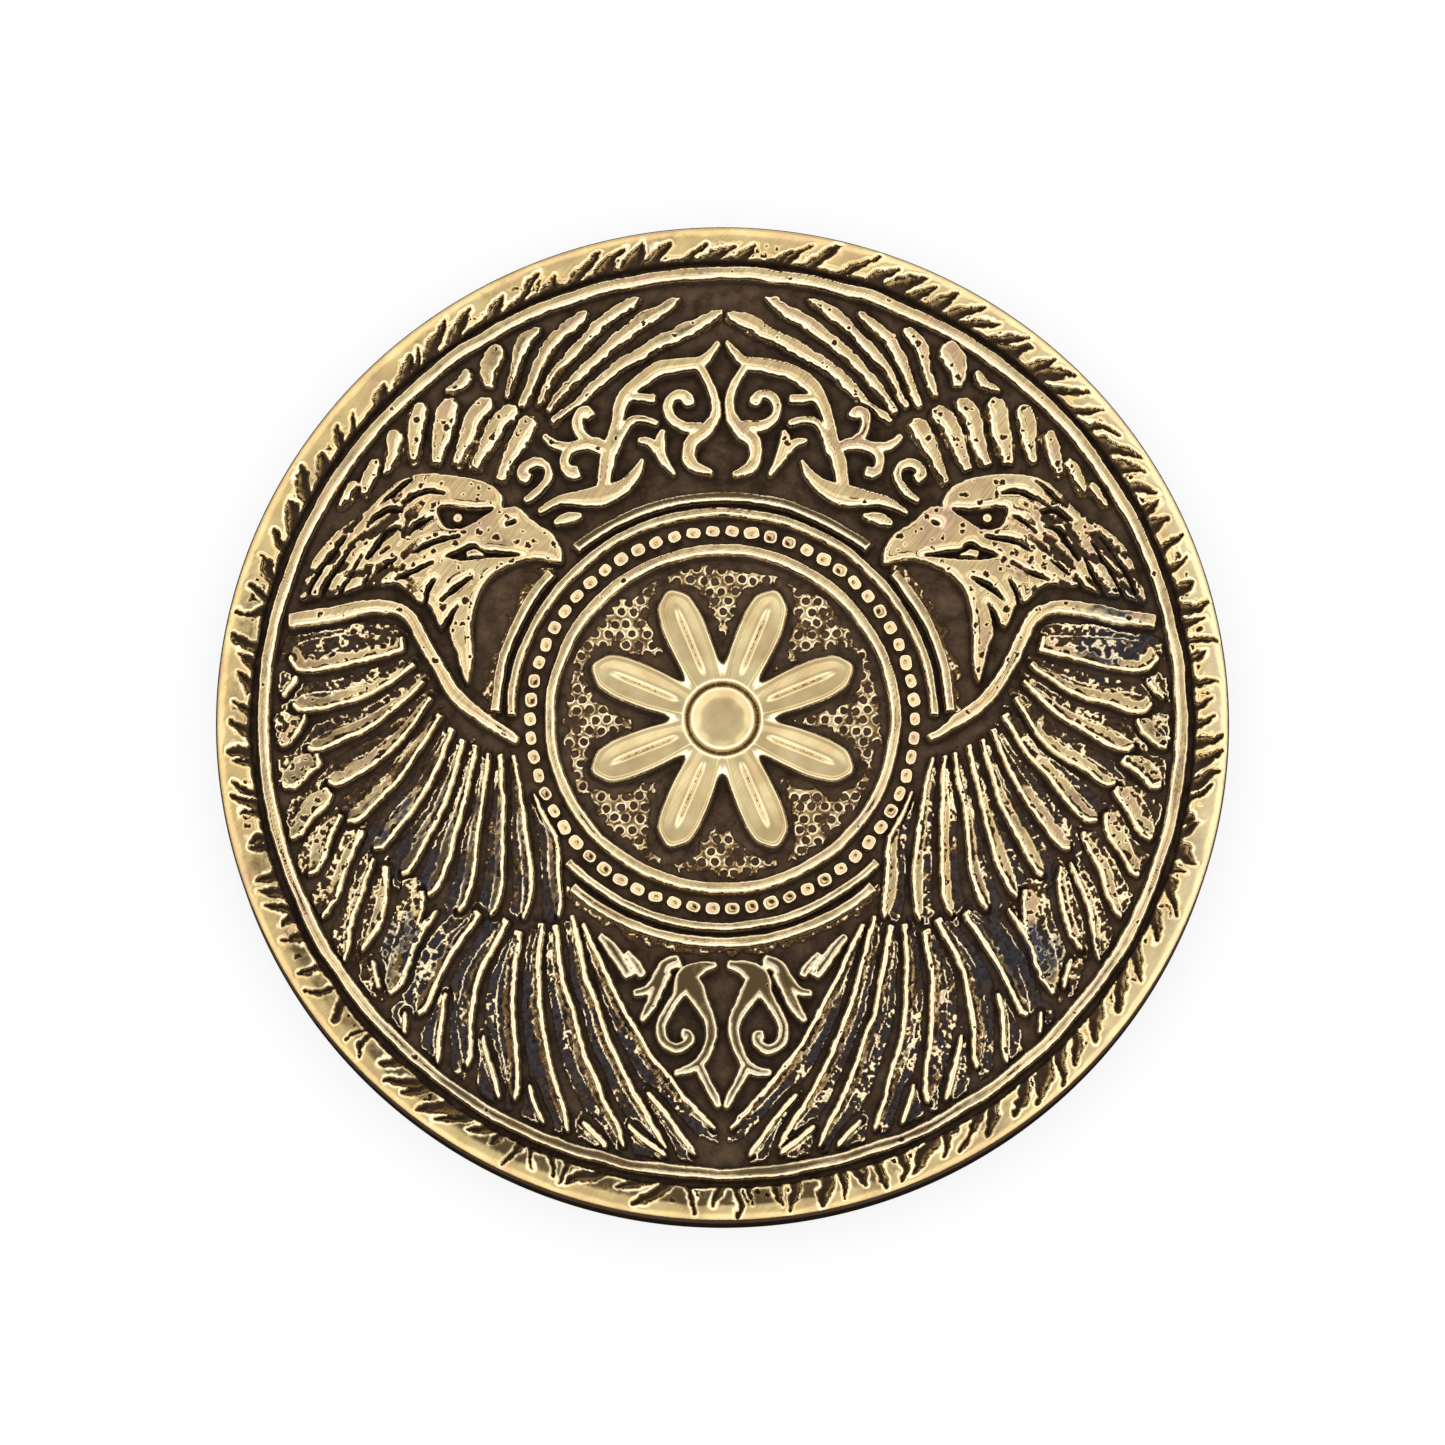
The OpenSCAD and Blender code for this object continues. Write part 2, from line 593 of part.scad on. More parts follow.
coin_blank();
rim_band();
border_ring();
eagle_head("left");  // left_eagle_head
eagle_head("right");  // right_eagle_head
eye("left");  // left_eye
eye("right");  // right_eye
wing_bow("left");  // left_wing_bow
wing_bow("right");  // right_wing_bow
upper_feathers("left");  // left_upper_feathers
upper_feathers("right");  // right_upper_feathers
crown_coverts("left");  // left_crown_coverts
crown_coverts("right");  // right_crown_coverts
lower_coverts("left");  // left_lower_coverts
lower_coverts("right");  // right_lower_coverts
outer_coverts("left");  // left_outer_coverts
outer_coverts("right");  // right_outer_coverts
flight_feathers("left");  // left_flight_feathers
flight_feathers("right");  // right_flight_feathers
top_scroll("left");  // left_top_scroll
top_scroll("right");  // right_top_scroll
bottom_scroll("left");  // left_bottom_scroll
bottom_scroll("right");  // right_bottom_scroll
inner_ring();
bead_row();
outer_ring();
arc(top_arc_span);  // top_arc
arc(bottom_arc_span);  // bottom_arc
on_side("left") arc(side_arc_span);  // left_side_arc
on_side("right") arc(side_arc_span);  // right_side_arc
rosette();
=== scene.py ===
import math
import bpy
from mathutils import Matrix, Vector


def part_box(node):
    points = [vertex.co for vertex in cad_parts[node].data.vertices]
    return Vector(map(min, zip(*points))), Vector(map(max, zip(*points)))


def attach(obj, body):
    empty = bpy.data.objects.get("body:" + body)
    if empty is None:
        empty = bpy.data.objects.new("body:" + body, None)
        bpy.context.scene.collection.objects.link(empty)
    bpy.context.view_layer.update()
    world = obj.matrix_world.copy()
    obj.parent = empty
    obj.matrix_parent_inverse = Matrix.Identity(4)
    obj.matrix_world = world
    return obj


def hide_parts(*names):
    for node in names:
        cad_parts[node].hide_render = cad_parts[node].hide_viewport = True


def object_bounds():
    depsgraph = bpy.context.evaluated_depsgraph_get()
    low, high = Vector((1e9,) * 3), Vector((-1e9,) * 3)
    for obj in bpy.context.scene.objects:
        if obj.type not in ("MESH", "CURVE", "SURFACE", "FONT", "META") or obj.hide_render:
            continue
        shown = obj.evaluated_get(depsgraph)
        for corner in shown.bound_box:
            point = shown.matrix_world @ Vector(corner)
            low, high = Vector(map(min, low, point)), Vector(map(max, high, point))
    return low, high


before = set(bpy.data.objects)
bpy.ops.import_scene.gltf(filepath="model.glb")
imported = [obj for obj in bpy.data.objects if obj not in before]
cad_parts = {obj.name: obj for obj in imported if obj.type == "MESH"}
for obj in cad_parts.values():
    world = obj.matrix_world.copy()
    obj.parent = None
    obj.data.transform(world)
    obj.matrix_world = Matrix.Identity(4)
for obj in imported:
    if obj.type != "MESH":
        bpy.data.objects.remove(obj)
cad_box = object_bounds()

from types import SimpleNamespace

import bpy
import numpy as np
from mathutils import Vector
from mathutils.geometry import delaunay_2d_cdt

# Sizes below are in millimetres, and meshes are made in metres.
MM = 0.001
RELIEF_CELL = 0.05
FLOOR_CELL = 0.13
FLOOR_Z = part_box("coin_blank")[1].z / MM
COIN_R = min(abs(side) for corner in cad_box for side in corner[:2]) / MM
RIM_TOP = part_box("rim_band")[1].z / MM
# How far a casting reaches down into the blank, and how quickly it drops below the floor
SINK = 0.12
SKIRT = 0.03
DROP_RUN = 0.06
# How far from an outline distances are measured, and the room left round it on its grid
REACH = 1.2
MARGIN = 0.25
# Share of its CAD height that a casting keeps to
UNDER_TOP = 0.999
# Rounding allowed between heights, and between points when a flat face is filled
ROUNDING = 1e-6
TOUCHING = 1e-7


def mesh_arrays(node):
    """A CAD node's merged points in mm and its triangles."""
    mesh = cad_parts[node].data
    mesh.calc_loop_triangles()
    co = np.empty(len(mesh.vertices) * 3, np.float32)
    mesh.vertices.foreach_get("co", co)
    tri = np.empty(len(mesh.loop_triangles) * 3, np.int32)
    mesh.loop_triangles.foreach_get("vertices", tri)
    points, index = np.unique(np.round(co.reshape(-1, 3) / MM, 5), axis=0, return_inverse=True)
    return points, index.reshape(-1)[tri].reshape(-1, 3)


def outline_of(node):
    """Edges round a node's flat top, as pairs of points with the metal on their left."""
    points, tri = mesh_arrays(node)
    top = tri[(points[tri, 2] > points[:, 2].max() - 0.01).all(1)]
    edges = np.concatenate([top[:, [0, 1]], top[:, [1, 2]], top[:, [2, 0]]])
    forward = edges[:, 0] * len(points) + edges[:, 1]
    backward = edges[:, 1] * len(points) + edges[:, 0]
    return points[edges[~np.isin(forward, backward)]][:, :, :2]


def island_centres(node):
    """The middle of each separate solid of a node, in mm."""
    points, tri = mesh_arrays(node)
    label = np.arange(len(points))
    while True:
        low = label[tri].min(1)
        new = label.copy()
        for k in range(3):
            np.minimum.at(new, tri[:, k], low)
        if (new == label).all():
            break
        label = new
    centres = []
    for k in np.unique(label[tri]):
        p = points[label == k]
        centres.append((p.min(0) + p.max(0)) / 2)
    return np.array(centres)


class Field:
    """A square grid of points over a region, in mm."""

    def __init__(self, low, high, cell):
        i = np.floor(np.asarray(low) / cell).astype(int)
        j = np.ceil(np.asarray(high) / cell).astype(int)
        self.cell = cell
        self.x = np.arange(i[0], j[0] + 1) * cell
        self.y = np.arange(i[1], j[1] + 1) * cell
        self.X, self.Y = np.meshgrid(self.x, self.y)

    def distance(self, edges, reach=REACH):
        """Distance of each grid point from the nearest edge, up to reach."""
        d2 = np.full(self.X.shape, reach ** 2)
        for a, b in edges:
            low, high = np.minimum(a, b) - reach, np.maximum(a, b) + reach
            i0, i1 = np.searchsorted(self.x, (low[0], high[0]))
            j0, j1 = np.searchsorted(self.y, (low[1], high[1]))
            if i0 == i1 or j0 == j1:
                continue
            along = b - a
            px = self.x[i0:i1][None, :] - a[0]
            py = self.y[j0:j1][:, None] - a[1]
            t = np.clip((px * along[0] + py * along[1]) / max(along @ along, 1e-12), 0, 1)
            near = (px - t * along[0]) ** 2 + (py - t * along[1]) ** 2
            np.minimum(d2[j0:j1, i0:i1], near, out=d2[j0:j1, i0:i1])
        return np.sqrt(d2)

    def inside(self, edges):
        """True for grid points that lie within closed outlines."""
        turns = np.zeros((len(self.y), len(self.x) + 1), np.int32)
        for a, b in edges:
            if a[1] == b[1]:
                continue
            j0, j1 = np.searchsorted(self.y, (min(a[1], b[1]), max(a[1], b[1])))
            rows = np.arange(j0, j1)
            cross = a[0] + (self.y[rows] - a[1]) * (b[0] - a[0]) / (b[1] - a[1])
            np.add.at(turns, (rows, np.searchsorted(self.x, cross)), 1)
        return np.cumsum(turns[:, :-1], 1) % 2 == 1

    def depth(self, edges, reach=REACH):
        """Distance inside closed outlines, negative outside them."""
        d = self.distance(edges, reach)
        return np.where(self.inside(edges), d, -d)

    def sample(self, values, x, y):
        """Values of the grid read between its points."""
        u = np.clip((x - self.x[0]) / self.cell, 0, len(self.x) - 1.001)
        v = np.clip((y - self.y[0]) / self.cell, 0, len(self.y) - 1.001)
        i, j = u.astype(int), v.astype(int)
        u, v = u - i, v - j
        return ((values[j, i] * (1 - u) + values[j, i + 1] * u) * (1 - v)
                + (values[j + 1, i] * (1 - u) + values[j + 1, i + 1] * u) * v)


def smooth(low, high, value):
    """A soft step from 0 at low to 1 at high."""
    t = np.clip((value - low) / (high - low), 0, 1)
    return t * t * (3 - 2 * t)


def hump(off, width):
    """1 where off is 0, and almost 0 from twice that width away."""
    return np.exp(-(off / width) ** 2)


def noise(x, y, size, seed):
    """Smooth uneven values from -1 to 1 that change over about size mm."""
    table = np.random.RandomState(seed).uniform(-1, 1, (128, 128))
    u, v = x / size + 64, y / size + 64
    i, j = np.floor(u).astype(int), np.floor(v).astype(int)
    u, v = u - i, v - j
    u, v = u * u * (3 - 2 * u), v * v * (3 - 2 * v)
    i0, i1, j0, j1 = i % 128, (i + 1) % 128, j % 128, (j + 1) % 128
    return ((table[j0, i0] * (1 - u) + table[j0, i1] * u) * (1 - v)
            + (table[j1, i0] * (1 - u) + table[j1, i1] * u) * v)


def pits(x, y, spacing, radius, share, seed):
    """Depth from 0 to 1 of small round casting pits, about one to each square of that spacing."""
    rng = np.random.RandomState(seed)
    table = rng.uniform(0, 1, (4, 64, 64))
    i, j = np.floor(x / spacing).astype(int), np.floor(y / spacing).astype(int)
    depth = np.zeros_like(x)
    for di in (-1, 0, 1):
        for dj in (-1, 0, 1):
            a, b = (i + di) % 64, (j + dj) % 64
            cx = (i + di + table[0, b, a]) * spacing
            cy = (j + dj + table[1, b, a]) * spacing
            r = radius * (0.45 + 0.75 * table[2, b, a] ** 2)
            near = 1 - ((x - cx) ** 2 + (y - cy) ** 2) / r ** 2
            depth = np.maximum(depth, np.where(table[3, b, a] < share, near, 0))
    return np.clip(depth, 0, 1)


def linear(code):
    """An sRGB hex colour as linear red, green, blue and alpha."""
    parts = [int(code[k:k + 2], 16) / 255 for k in (1, 3, 5)]
    return [c / 12.92 if c <= 0.04045 else ((c + 0.055) / 1.055) ** 2.4 for c in parts] + [1.0]


def add(tree, kind, settings=None, inputs=None):
    """Adds a node with its settings, and sets or links its inputs."""
    node = tree.nodes.new(kind)
    for key, value in (settings or {}).items():
        setattr(node, key, value)
    for key, value in (inputs or {}).items():
        if isinstance(value, bpy.types.NodeSocket):
            tree.links.new(value, node.inputs[key])
        else:
            node.inputs[key].default_value = value
    return node


def per_mm(size):
    """Scale of a pattern whose features are size mm across, on coordinates in metres."""
    return 1 / (size * MM)


def put(name, data):
    """A new object in the scene."""
    thing = bpy.data.objects.new(name, data)
    bpy.context.scene.collection.objects.link(thing)
    return thing


def empty_tree(owner):
    """The cleared node tree of a new material or world."""
    owner.use_nodes = True
    owner.node_tree.nodes.clear()
    return owner.node_tree


# Settings that many nodes share
RGBA = {"data_type": "RGBA"}
SOFT_STEP = {"interpolation_type": "SMOOTHSTEP"}
TIMES_PLUS = {"operation": "MULTIPLY_ADD"}
# The patina is dead matt
PATINA_SHINE = 0.0
# What lies on the brass: blue-grey tarnish, brown wash that also carries painted shade, amber where the
# patina is thin, the patina where it is darkest and brownest, and the slate it turns to where it is tarnished
TARNISH_GREY, WASH_AND_SHADE_BROWN, AMBER = "#46454d", "#5e4d33", "#7a5a2c"
PATINA_DARK, PATINA_BROWN, PATINA_SLATE = "#2a1e15", "#554435", "#3a373a"
# Patina of the floor in its darker and paler patches, and near-black patina with painted shade beside the
# relief, also used on the edge and reverse
FLOOR_DARK, FLOOR_PALE, FLOOR_BLACK_AND_SHADE = "#3a2c22", "#5e4c3b", "#120b08"


def antique_brass(name, tan, cream, blush, edge_gold, scratch, sheen):
    """Antiqued brass: cast yellow brass, blackened all over and rubbed back where it stands high.

    The flats come up tan with a soft sheen, the edges rubbed bright and painted cream as a highlight, and
    black stays in the low places."""
    material = bpy.data.materials.new(name)
    tree = empty_tree(material)
    at = add(tree, "ShaderNodeTexCoord").outputs["Object"]
    polish, edge, tarnish, wash = [
        add(tree, "ShaderNodeAttribute", {"attribute_name": key}).outputs["Fac"]
        for key in ("polish", "edge", "tarnish", "wash")]

    # Torn border between rubbed metal and black, with amber along it
    fringe = add(tree, "ShaderNodeTexNoise", None,
                 {"Vector": at, "Scale": per_mm(0.12), "Detail": 4.0, "Roughness": 0.7}).outputs["Fac"]
    torn = add(tree, "ShaderNodeMath", TIMES_PLUS, {0: fringe, 1: 0.9, 2: polish}).outputs[0]
    thin = add(tree, "ShaderNodeMapRange", SOFT_STEP,
               {"Value": torn, "From Min": 0.76, "From Max": 0.94}).outputs["Result"]
    bare = add(tree, "ShaderNodeMapRange", SOFT_STEP,
               {"Value": torn, "From Min": 0.86, "From Max": 1.04}).outputs["Result"]

    # Rubbed flats: tan with paler and blushed patches and fine slanting rubbing scratches
    patches = add(tree, "ShaderNodeTexNoise", None,
                  {"Vector": at, "Scale": per_mm(1.6), "Detail": 2.0}).outputs["Fac"]
    ramp = add(tree, "ShaderNodeValToRGB", None, {"Fac": patches})
    ramp.color_ramp.elements[0].position = 0.34
    ramp.color_ramp.elements[0].color = linear(blush)
    ramp.color_ramp.elements[1].position = 0.66
    ramp.color_ramp.elements[1].color = linear(cream)
    ramp.color_ramp.elements.new(0.48).color = linear(tan)
    slanted = add(tree, "ShaderNodeMapping", {"vector_type": "TEXTURE"},
                  {"Vector": at, "Rotation": (0, 0, math.radians(-38)), "Scale": (1, 12, 1)}).outputs[0]
    lines = add(tree, "ShaderNodeTexNoise", None,
                {"Vector": slanted, "Scale": per_mm(0.08), "Detail": 2.0}).outputs["Fac"]
    streak = add(tree, "ShaderNodeMapRange", None,
                 {"Value": lines, "From Min": 0.35, "From Max": 0.65, "To Min": 1 - scratch,
                  "To Max": 1 + scratch * 0.4}).outputs["Result"]
    flat = add(tree, "ShaderNodeVectorMath", {"operation": "SCALE"},
               {0: ramp.outputs["Color"], "Scale": streak}).outputs[0]

    # Blue-grey tarnish and brown wash in clouds, the wash also carrying painted shade, and edges rubbed
    # bright and painted up to a highlight
    clouds = add(tree, "ShaderNodeTexNoise", None,
                 {"Vector": at, "Scale": per_mm(0.35), "Detail": 4.0, "Roughness": 0.6}).outputs["Fac"]
    dull = add(tree, "ShaderNodeMath", TIMES_PLUS, {0: clouds, 1: 0.8, 2: tarnish}).outputs[0]
    dull = add(tree, "ShaderNodeMapRange", SOFT_STEP,
               {"Value": dull, "From Min": 0.75, "From Max": 1.3}).outputs["Result"]
    metal = add(tree, "ShaderNodeMix", RGBA, {"Factor": dull, 6: flat, 7: linear(TARNISH_GREY)}).outputs[2]
    # Brown wash, which also paints shade on flats at the foot and lower left of the coin
    held = add(tree, "ShaderNodeMath", TIMES_PLUS, {0: clouds, 1: 0.7, 2: wash}).outputs[0]
    held = add(tree, "ShaderNodeMapRange", SOFT_STEP,
               {"Value": held, "From Min": 0.5, "From Max": 1.15}).outputs["Result"]
    metal = add(tree, "ShaderNodeMix", RGBA, {"Factor": held, 6: metal, 7: linear(WASH_AND_SHADE_BROWN)}).outputs[2]
    # Painted highlight on top of real rubbing: along the edges the metal is mixed toward a near-white gold
    broken = add(tree, "ShaderNodeMapRange", SOFT_STEP,
                 {"Value": fringe, "From Min": 0.38, "From Max": 0.54, "To Min": 0.72}).outputs["Result"]
    rubbed = add(tree, "ShaderNodeMath", {"operation": "MULTIPLY"}, {0: edge, 1: broken}).outputs[0]
    metal = add(tree, "ShaderNodeMix", RGBA, {"Factor": rubbed, 6: metal, 7: linear(edge_gold)}).outputs[2]

    # Black-brown patina, mottled, and slate where it is tarnished
    mottle = add(tree, "ShaderNodeTexNoise", None,
                 {"Vector": at, "Scale": per_mm(0.6), "Detail": 4.0, "Roughness": 0.65}).outputs["Fac"]
    black = add(tree, "ShaderNodeMix", RGBA,
                {"Factor": mottle, 6: linear(PATINA_DARK), 7: linear(PATINA_BROWN)}).outputs[2]
    black = add(tree, "ShaderNodeMix", RGBA, {"Factor": dull, 6: black, 7: linear(PATINA_SLATE)}).outputs[2]

    stained = add(tree, "ShaderNodeMix", RGBA, {"Factor": thin, 6: black, 7: linear(AMBER)}).outputs[2]
    colour = add(tree, "ShaderNodeMix", RGBA, {"Factor": bare, 6: stained, 7: metal}).outputs[2]
    rough = add(tree, "ShaderNodeMapRange", None,
                {"Value": bare, "To Min": 0.5, "To Max": sheen}).outputs["Result"]
    rough = add(tree, "ShaderNodeMath", TIMES_PLUS, {0: edge, 1: -0.08, 2: rough}).outputs[0]
    grain = add(tree, "ShaderNodeTexNoise", None,
                {"Vector": at, "Scale": per_mm(0.12), "Detail": 3.0}).outputs["Fac"]
    height = add(tree, "ShaderNodeMix", {"data_type": "FLOAT"},
                 {"Factor": bare, 2: grain, 3: lines}).outputs[0]
    bump = add(tree, "ShaderNodeBump", None,
               {"Strength": 0.2, "Distance": 0.03 * MM, "Height": height}).outputs["Normal"]
    shader = add(tree, "ShaderNodeBsdfPrincipled", None,
                 {"Base Color": colour, "Metallic": bare, "Roughness": rough, "Normal": bump,
                  "Specular IOR Level": PATINA_SHINE})
    add(tree, "ShaderNodeOutputMaterial", None, {"Surface": shader.outputs[0]})
    return material


def patina_floor(name):
    """Black-brown patina: brass left as cast and darkened with liver of sulphur, so it looks matt and
    mottled brown in the open, with painted shade making it near black beside the relief."""
    material = bpy.data.materials.new(name)
    tree = empty_tree(material)
    at = add(tree, "ShaderNodeTexCoord").outputs["Object"]
    recess = add(tree, "ShaderNodeAttribute", {"attribute_name": "recess"}).outputs["Fac"]
    mottle = add(tree, "ShaderNodeTexNoise", None,
                 {"Vector": at, "Scale": per_mm(0.7), "Detail": 4.0, "Roughness": 0.65}).outputs["Fac"]
    spread = add(tree, "ShaderNodeMapRange", None,
                 {"Value": mottle, "From Min": 0.35, "From Max": 0.7}).outputs["Result"]
    brown = add(tree, "ShaderNodeMix", RGBA,
                {"Factor": spread, 6: linear(FLOOR_DARK), 7: linear(FLOOR_PALE)}).outputs[2]
    # Painted shade beside the relief, and the blackened edge and reverse, mix toward near black
    dark = add(tree, "ShaderNodeMix", RGBA, {"Factor": recess, 6: brown, 7: linear(FLOOR_BLACK_AND_SHADE)}).outputs[2]
    grain = add(tree, "ShaderNodeTexNoise", None,
                {"Vector": at, "Scale": per_mm(0.12), "Detail": 4.0}).outputs["Fac"]
    bump = add(tree, "ShaderNodeBump", None,
               {"Strength": 0.4, "Distance": 0.03 * MM, "Height": grain}).outputs["Normal"]
    rough = add(tree, "ShaderNodeMapRange", None,
                {"Value": mottle, "To Min": 0.4, "To Max": 0.6}).outputs["Result"]
    shader = add(tree, "ShaderNodeBsdfPrincipled", None,
                 {"Base Color": dark, "Roughness": rough, "Normal": bump, "Specular IOR Level": PATINA_SHINE})
    add(tree, "ShaderNodeOutputMaterial", None, {"Surface": shader.outputs[0]})
    return material


# Tan, cream and blush of the flats, pale gold of the edges painted as a highlight, depth of the scratches,
# roughness of bare metal
RELIEF_BRASS = antique_brass("rubbed_relief_brass", "#d8bc89", "#e2ca98", "#cfaf8b", "#ffefc9", 0.2, 0.24)
RIM_BRASS = antique_brass("rubbed_rim_brass", "#dcc186", "#e6cd94", "#d4b483", "#ffefc6", 0.08, 0.24)
ROSETTE_BRASS = antique_brass("burnished_rosette_brass", "#d6bf8e", "#e4d09e", "#c8ae7e", "#fff4d6",
                              0.02, 0.18)
PATINA = patina_floor("black_brown_patina")


def make_piece(name, points, quads, triangles, material, **attributes):
    """A mesh object from points in mm, with a value of each attribute for every point."""
    points, quads, triangles = np.asarray(points), np.asarray(quads, int), np.asarray(triangles, int)
    mesh = bpy.data.meshes.new(name)
    corners = np.concatenate([quads.ravel(), triangles.ravel()]).astype(np.int32)
    starts = np.concatenate([np.arange(len(quads)) * 4,
                             len(quads) * 4 + np.arange(len(triangles)) * 3]).astype(np.int32)
    mesh.vertices.add(len(points))
    mesh.vertices.foreach_set("co", (points * MM).astype(np.float32).ravel())
    mesh.loops.add(len(corners))
    mesh.loops.foreach_set("vertex_index", corners)
    mesh.polygons.add(len(starts))
    mesh.polygons.foreach_set("loop_start", starts)
    mesh.update(calc_edges=True)
    for key, values in attributes.items():
        layer = mesh.attributes.new(key, "FLOAT", "POINT")
        layer.data.foreach_set("value", np.asarray(values, np.float32))
    mesh.materials.append(material)
    return put(name, mesh)


def stands_for(piece, slot, *nodes):
    """Seats a finished piece on the coin in place of its CAD nodes."""
    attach(piece, "root")
    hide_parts(*nodes)


def cells_with(mask):
    """Cells in use, with the ones added that would otherwise touch only at a corner."""
    mask = mask.copy()
    while True:
        a, b, c, d = mask[:-1, :-1], mask[:-1, 1:], mask[1:, :-1], mask[1:, 1:]
        fall = a & d & ~b & ~c
        rise = b & c & ~a & ~d
        if not (fall.any() or rise.any()):
            return mask
        mask[:-1, 1:] |= fall
        mask[:-1, :-1] |= rise


def border_edges(mask):
    """Edges of the cells in use that border on empty ones, as grid point pairs with the cells on the left."""
    pad = np.pad(mask, 1)
    core = pad[1:-1, 1:-1]
    sides = [(pad[:-2, 1:-1], (0, 0), (0, 1)), (pad[1:-1, 2:], (0, 1), (1, 1)),
             (pad[2:, 1:-1], (1, 1), (1, 0)), (pad[1:-1, :-2], (1, 0), (0, 0))]
    found = []
    for beside, start, end in sides:
        j, i = np.nonzero(core & ~beside)
        found.append(np.stack([j + start[0], i + start[1], j + end[0], i + end[1]], 1))
    return np.concatenate(found)


def grid_cells(used):
    """Quads of the cells in use, the grid points that they keep, and both ends of the border's edges.

    The quads number the kept points alone, and the ends number all points of the grid."""
    wide = used.shape[1] + 1
    j, i = np.nonzero(used)
    quads = np.stack([j * wide + i, j * wide + i + 1, (j + 1) * wide + i + 1, (j + 1) * wide + i], 1)
    kept = np.unique(quads)
    edges = border_edges(used)
    ends = np.stack([edges[:, 0] * wide + edges[:, 1], edges[:, 2] * wide + edges[:, 3]], 1)
    return np.searchsorted(kept, quads), kept, ends


def filled(points, ties):
    """Triangles between points on a plane, which keep the ties as edges."""
    out = delaunay_2d_cdt([Vector(p) for p in points.tolist()], ties.tolist(), [], 0, TOUCHING)
    order = np.array([ids[0] for ids in out[3]])
    return order[np.array([list(face) for face in out[2]])]


def heightfield(name, field, height, material, **attributes):
    """A closed casting whose upper surface has that height over the floor at each grid point."""
    high = height > -SINK + ROUNDING
    used = cells_with(high[:-1, :-1] | high[:-1, 1:] | high[1:, :-1] | high[1:, 1:])
    wide = len(field.x)
    quads, kept, ends = grid_cells(used)
    border = np.unique(ends)
    top, ties = np.searchsorted(kept, ends), np.searchsorted(border, ends)
    foot = len(kept) + ties
    skirt = np.stack([top[:, 1], top[:, 0], foot[:, 0], foot[:, 1]], 1)
    # The flat underside, worked out on whole grid numbers, which keep straight runs exactly straight
    spots = np.stack([border % wide, border // wide], 1)
    cap = filled(spots, ties)
    ci, cj = np.minimum(spots[cap].mean(1).astype(int), (wide - 2, len(field.y) - 2)).T
    cap = len(kept) + cap[used[cj, ci]][:, ::-1]
    x, y = field.X.ravel(), field.Y.ravel()
    upper = np.stack([x[kept], y[kept], np.maximum(height, -SINK).ravel()[kept] + FLOOR_Z], 1)
    under = np.stack([x[border], y[border], np.full(len(border), FLOOR_Z - SINK - SKIRT)], 1)
    values = {k: np.concatenate([v.ravel()[kept], np.zeros(len(border))]) for k, v in attributes.items()}
    return make_piece(name, np.concatenate([upper, under]), np.concatenate([quads, skirt]), cap, material,
                      **values)


# Share of a casting's height at these depths inside its edge: steep side, raised lip, flat top
LIP_AT = (0.0, 0.05, 0.09, 0.13, 0.17, 0.21, 0.3, 0.42)
LIP_UP = (0.0, 0.74, 0.88, 0.95, 0.985, 1.0, 0.95, 0.955)
# Width of the bright lip, rubbed and with a painted highlight, and of the broader one of the bottom scroll
LIP_W = 0.17
SCROLL_LIP_W = 0.19
# Share of the lip's brightness that the heads have
HEAD_LIP = 0.72
# Radius of a casting pit, and of the pale border round it, a painted highlight
PIT_R = 0.14
PIT_BORDER_R = 0.2
# How far the cast edge spreads beyond the drawn one, and how much further that of a scroll
EDGE_SPREAD = 0.075
SCROLL_SPREAD = {"top_scroll": 0.05, "bottom_scroll": 0.08}
# Where the bottom scroll swells into a leaf: middle, radius, spread
LEAF_X, LEAF_Y, LEAF_R, LEAF_SPREAD = 1.4, -11.5, 0.8, 0.25
# Reach of a feather's web past its drawn edge, and the gap it keeps from the next piece
WEB_SPREAD = 0.6
WEB_GAP = 0.2
# Width of the bright ridge along a feather, and of the smooth ribbon beside it
RIDGES = {"lower_coverts": (0.17, 0.32), "outer_coverts": (0.18, 0.42), "flight_feathers": (0.2, 0.2)}
# Share rubbed bare of the rough web and of the ribbon, then blue-grey tarnish and brown wash on the web
RUBBED = {"lower_coverts": (0.15, 0.57, 0.36, 0.45), "outer_coverts": (0.22, 0.57, 0.05, 0.2),
          "flight_feathers": (0.08, 0.36, 0.33, 0.45)}


def lip_up(depth):
    """Share of a casting's height at a depth inside its edge."""
    return np.interp(depth, LIP_AT, LIP_UP)


def lip_edge(depth, width):
    """Brightness from 0 to 1 of the lip along an edge: rubbed metal with a painted highlight."""
    return smooth(0.02, 0.07, depth) * (1 - smooth(width, width + 0.08, depth))


def sunk(depth):
    """Fall below the floor just outside an edge."""
    return SINK * np.clip(depth / DROP_RUN, -1, 0)


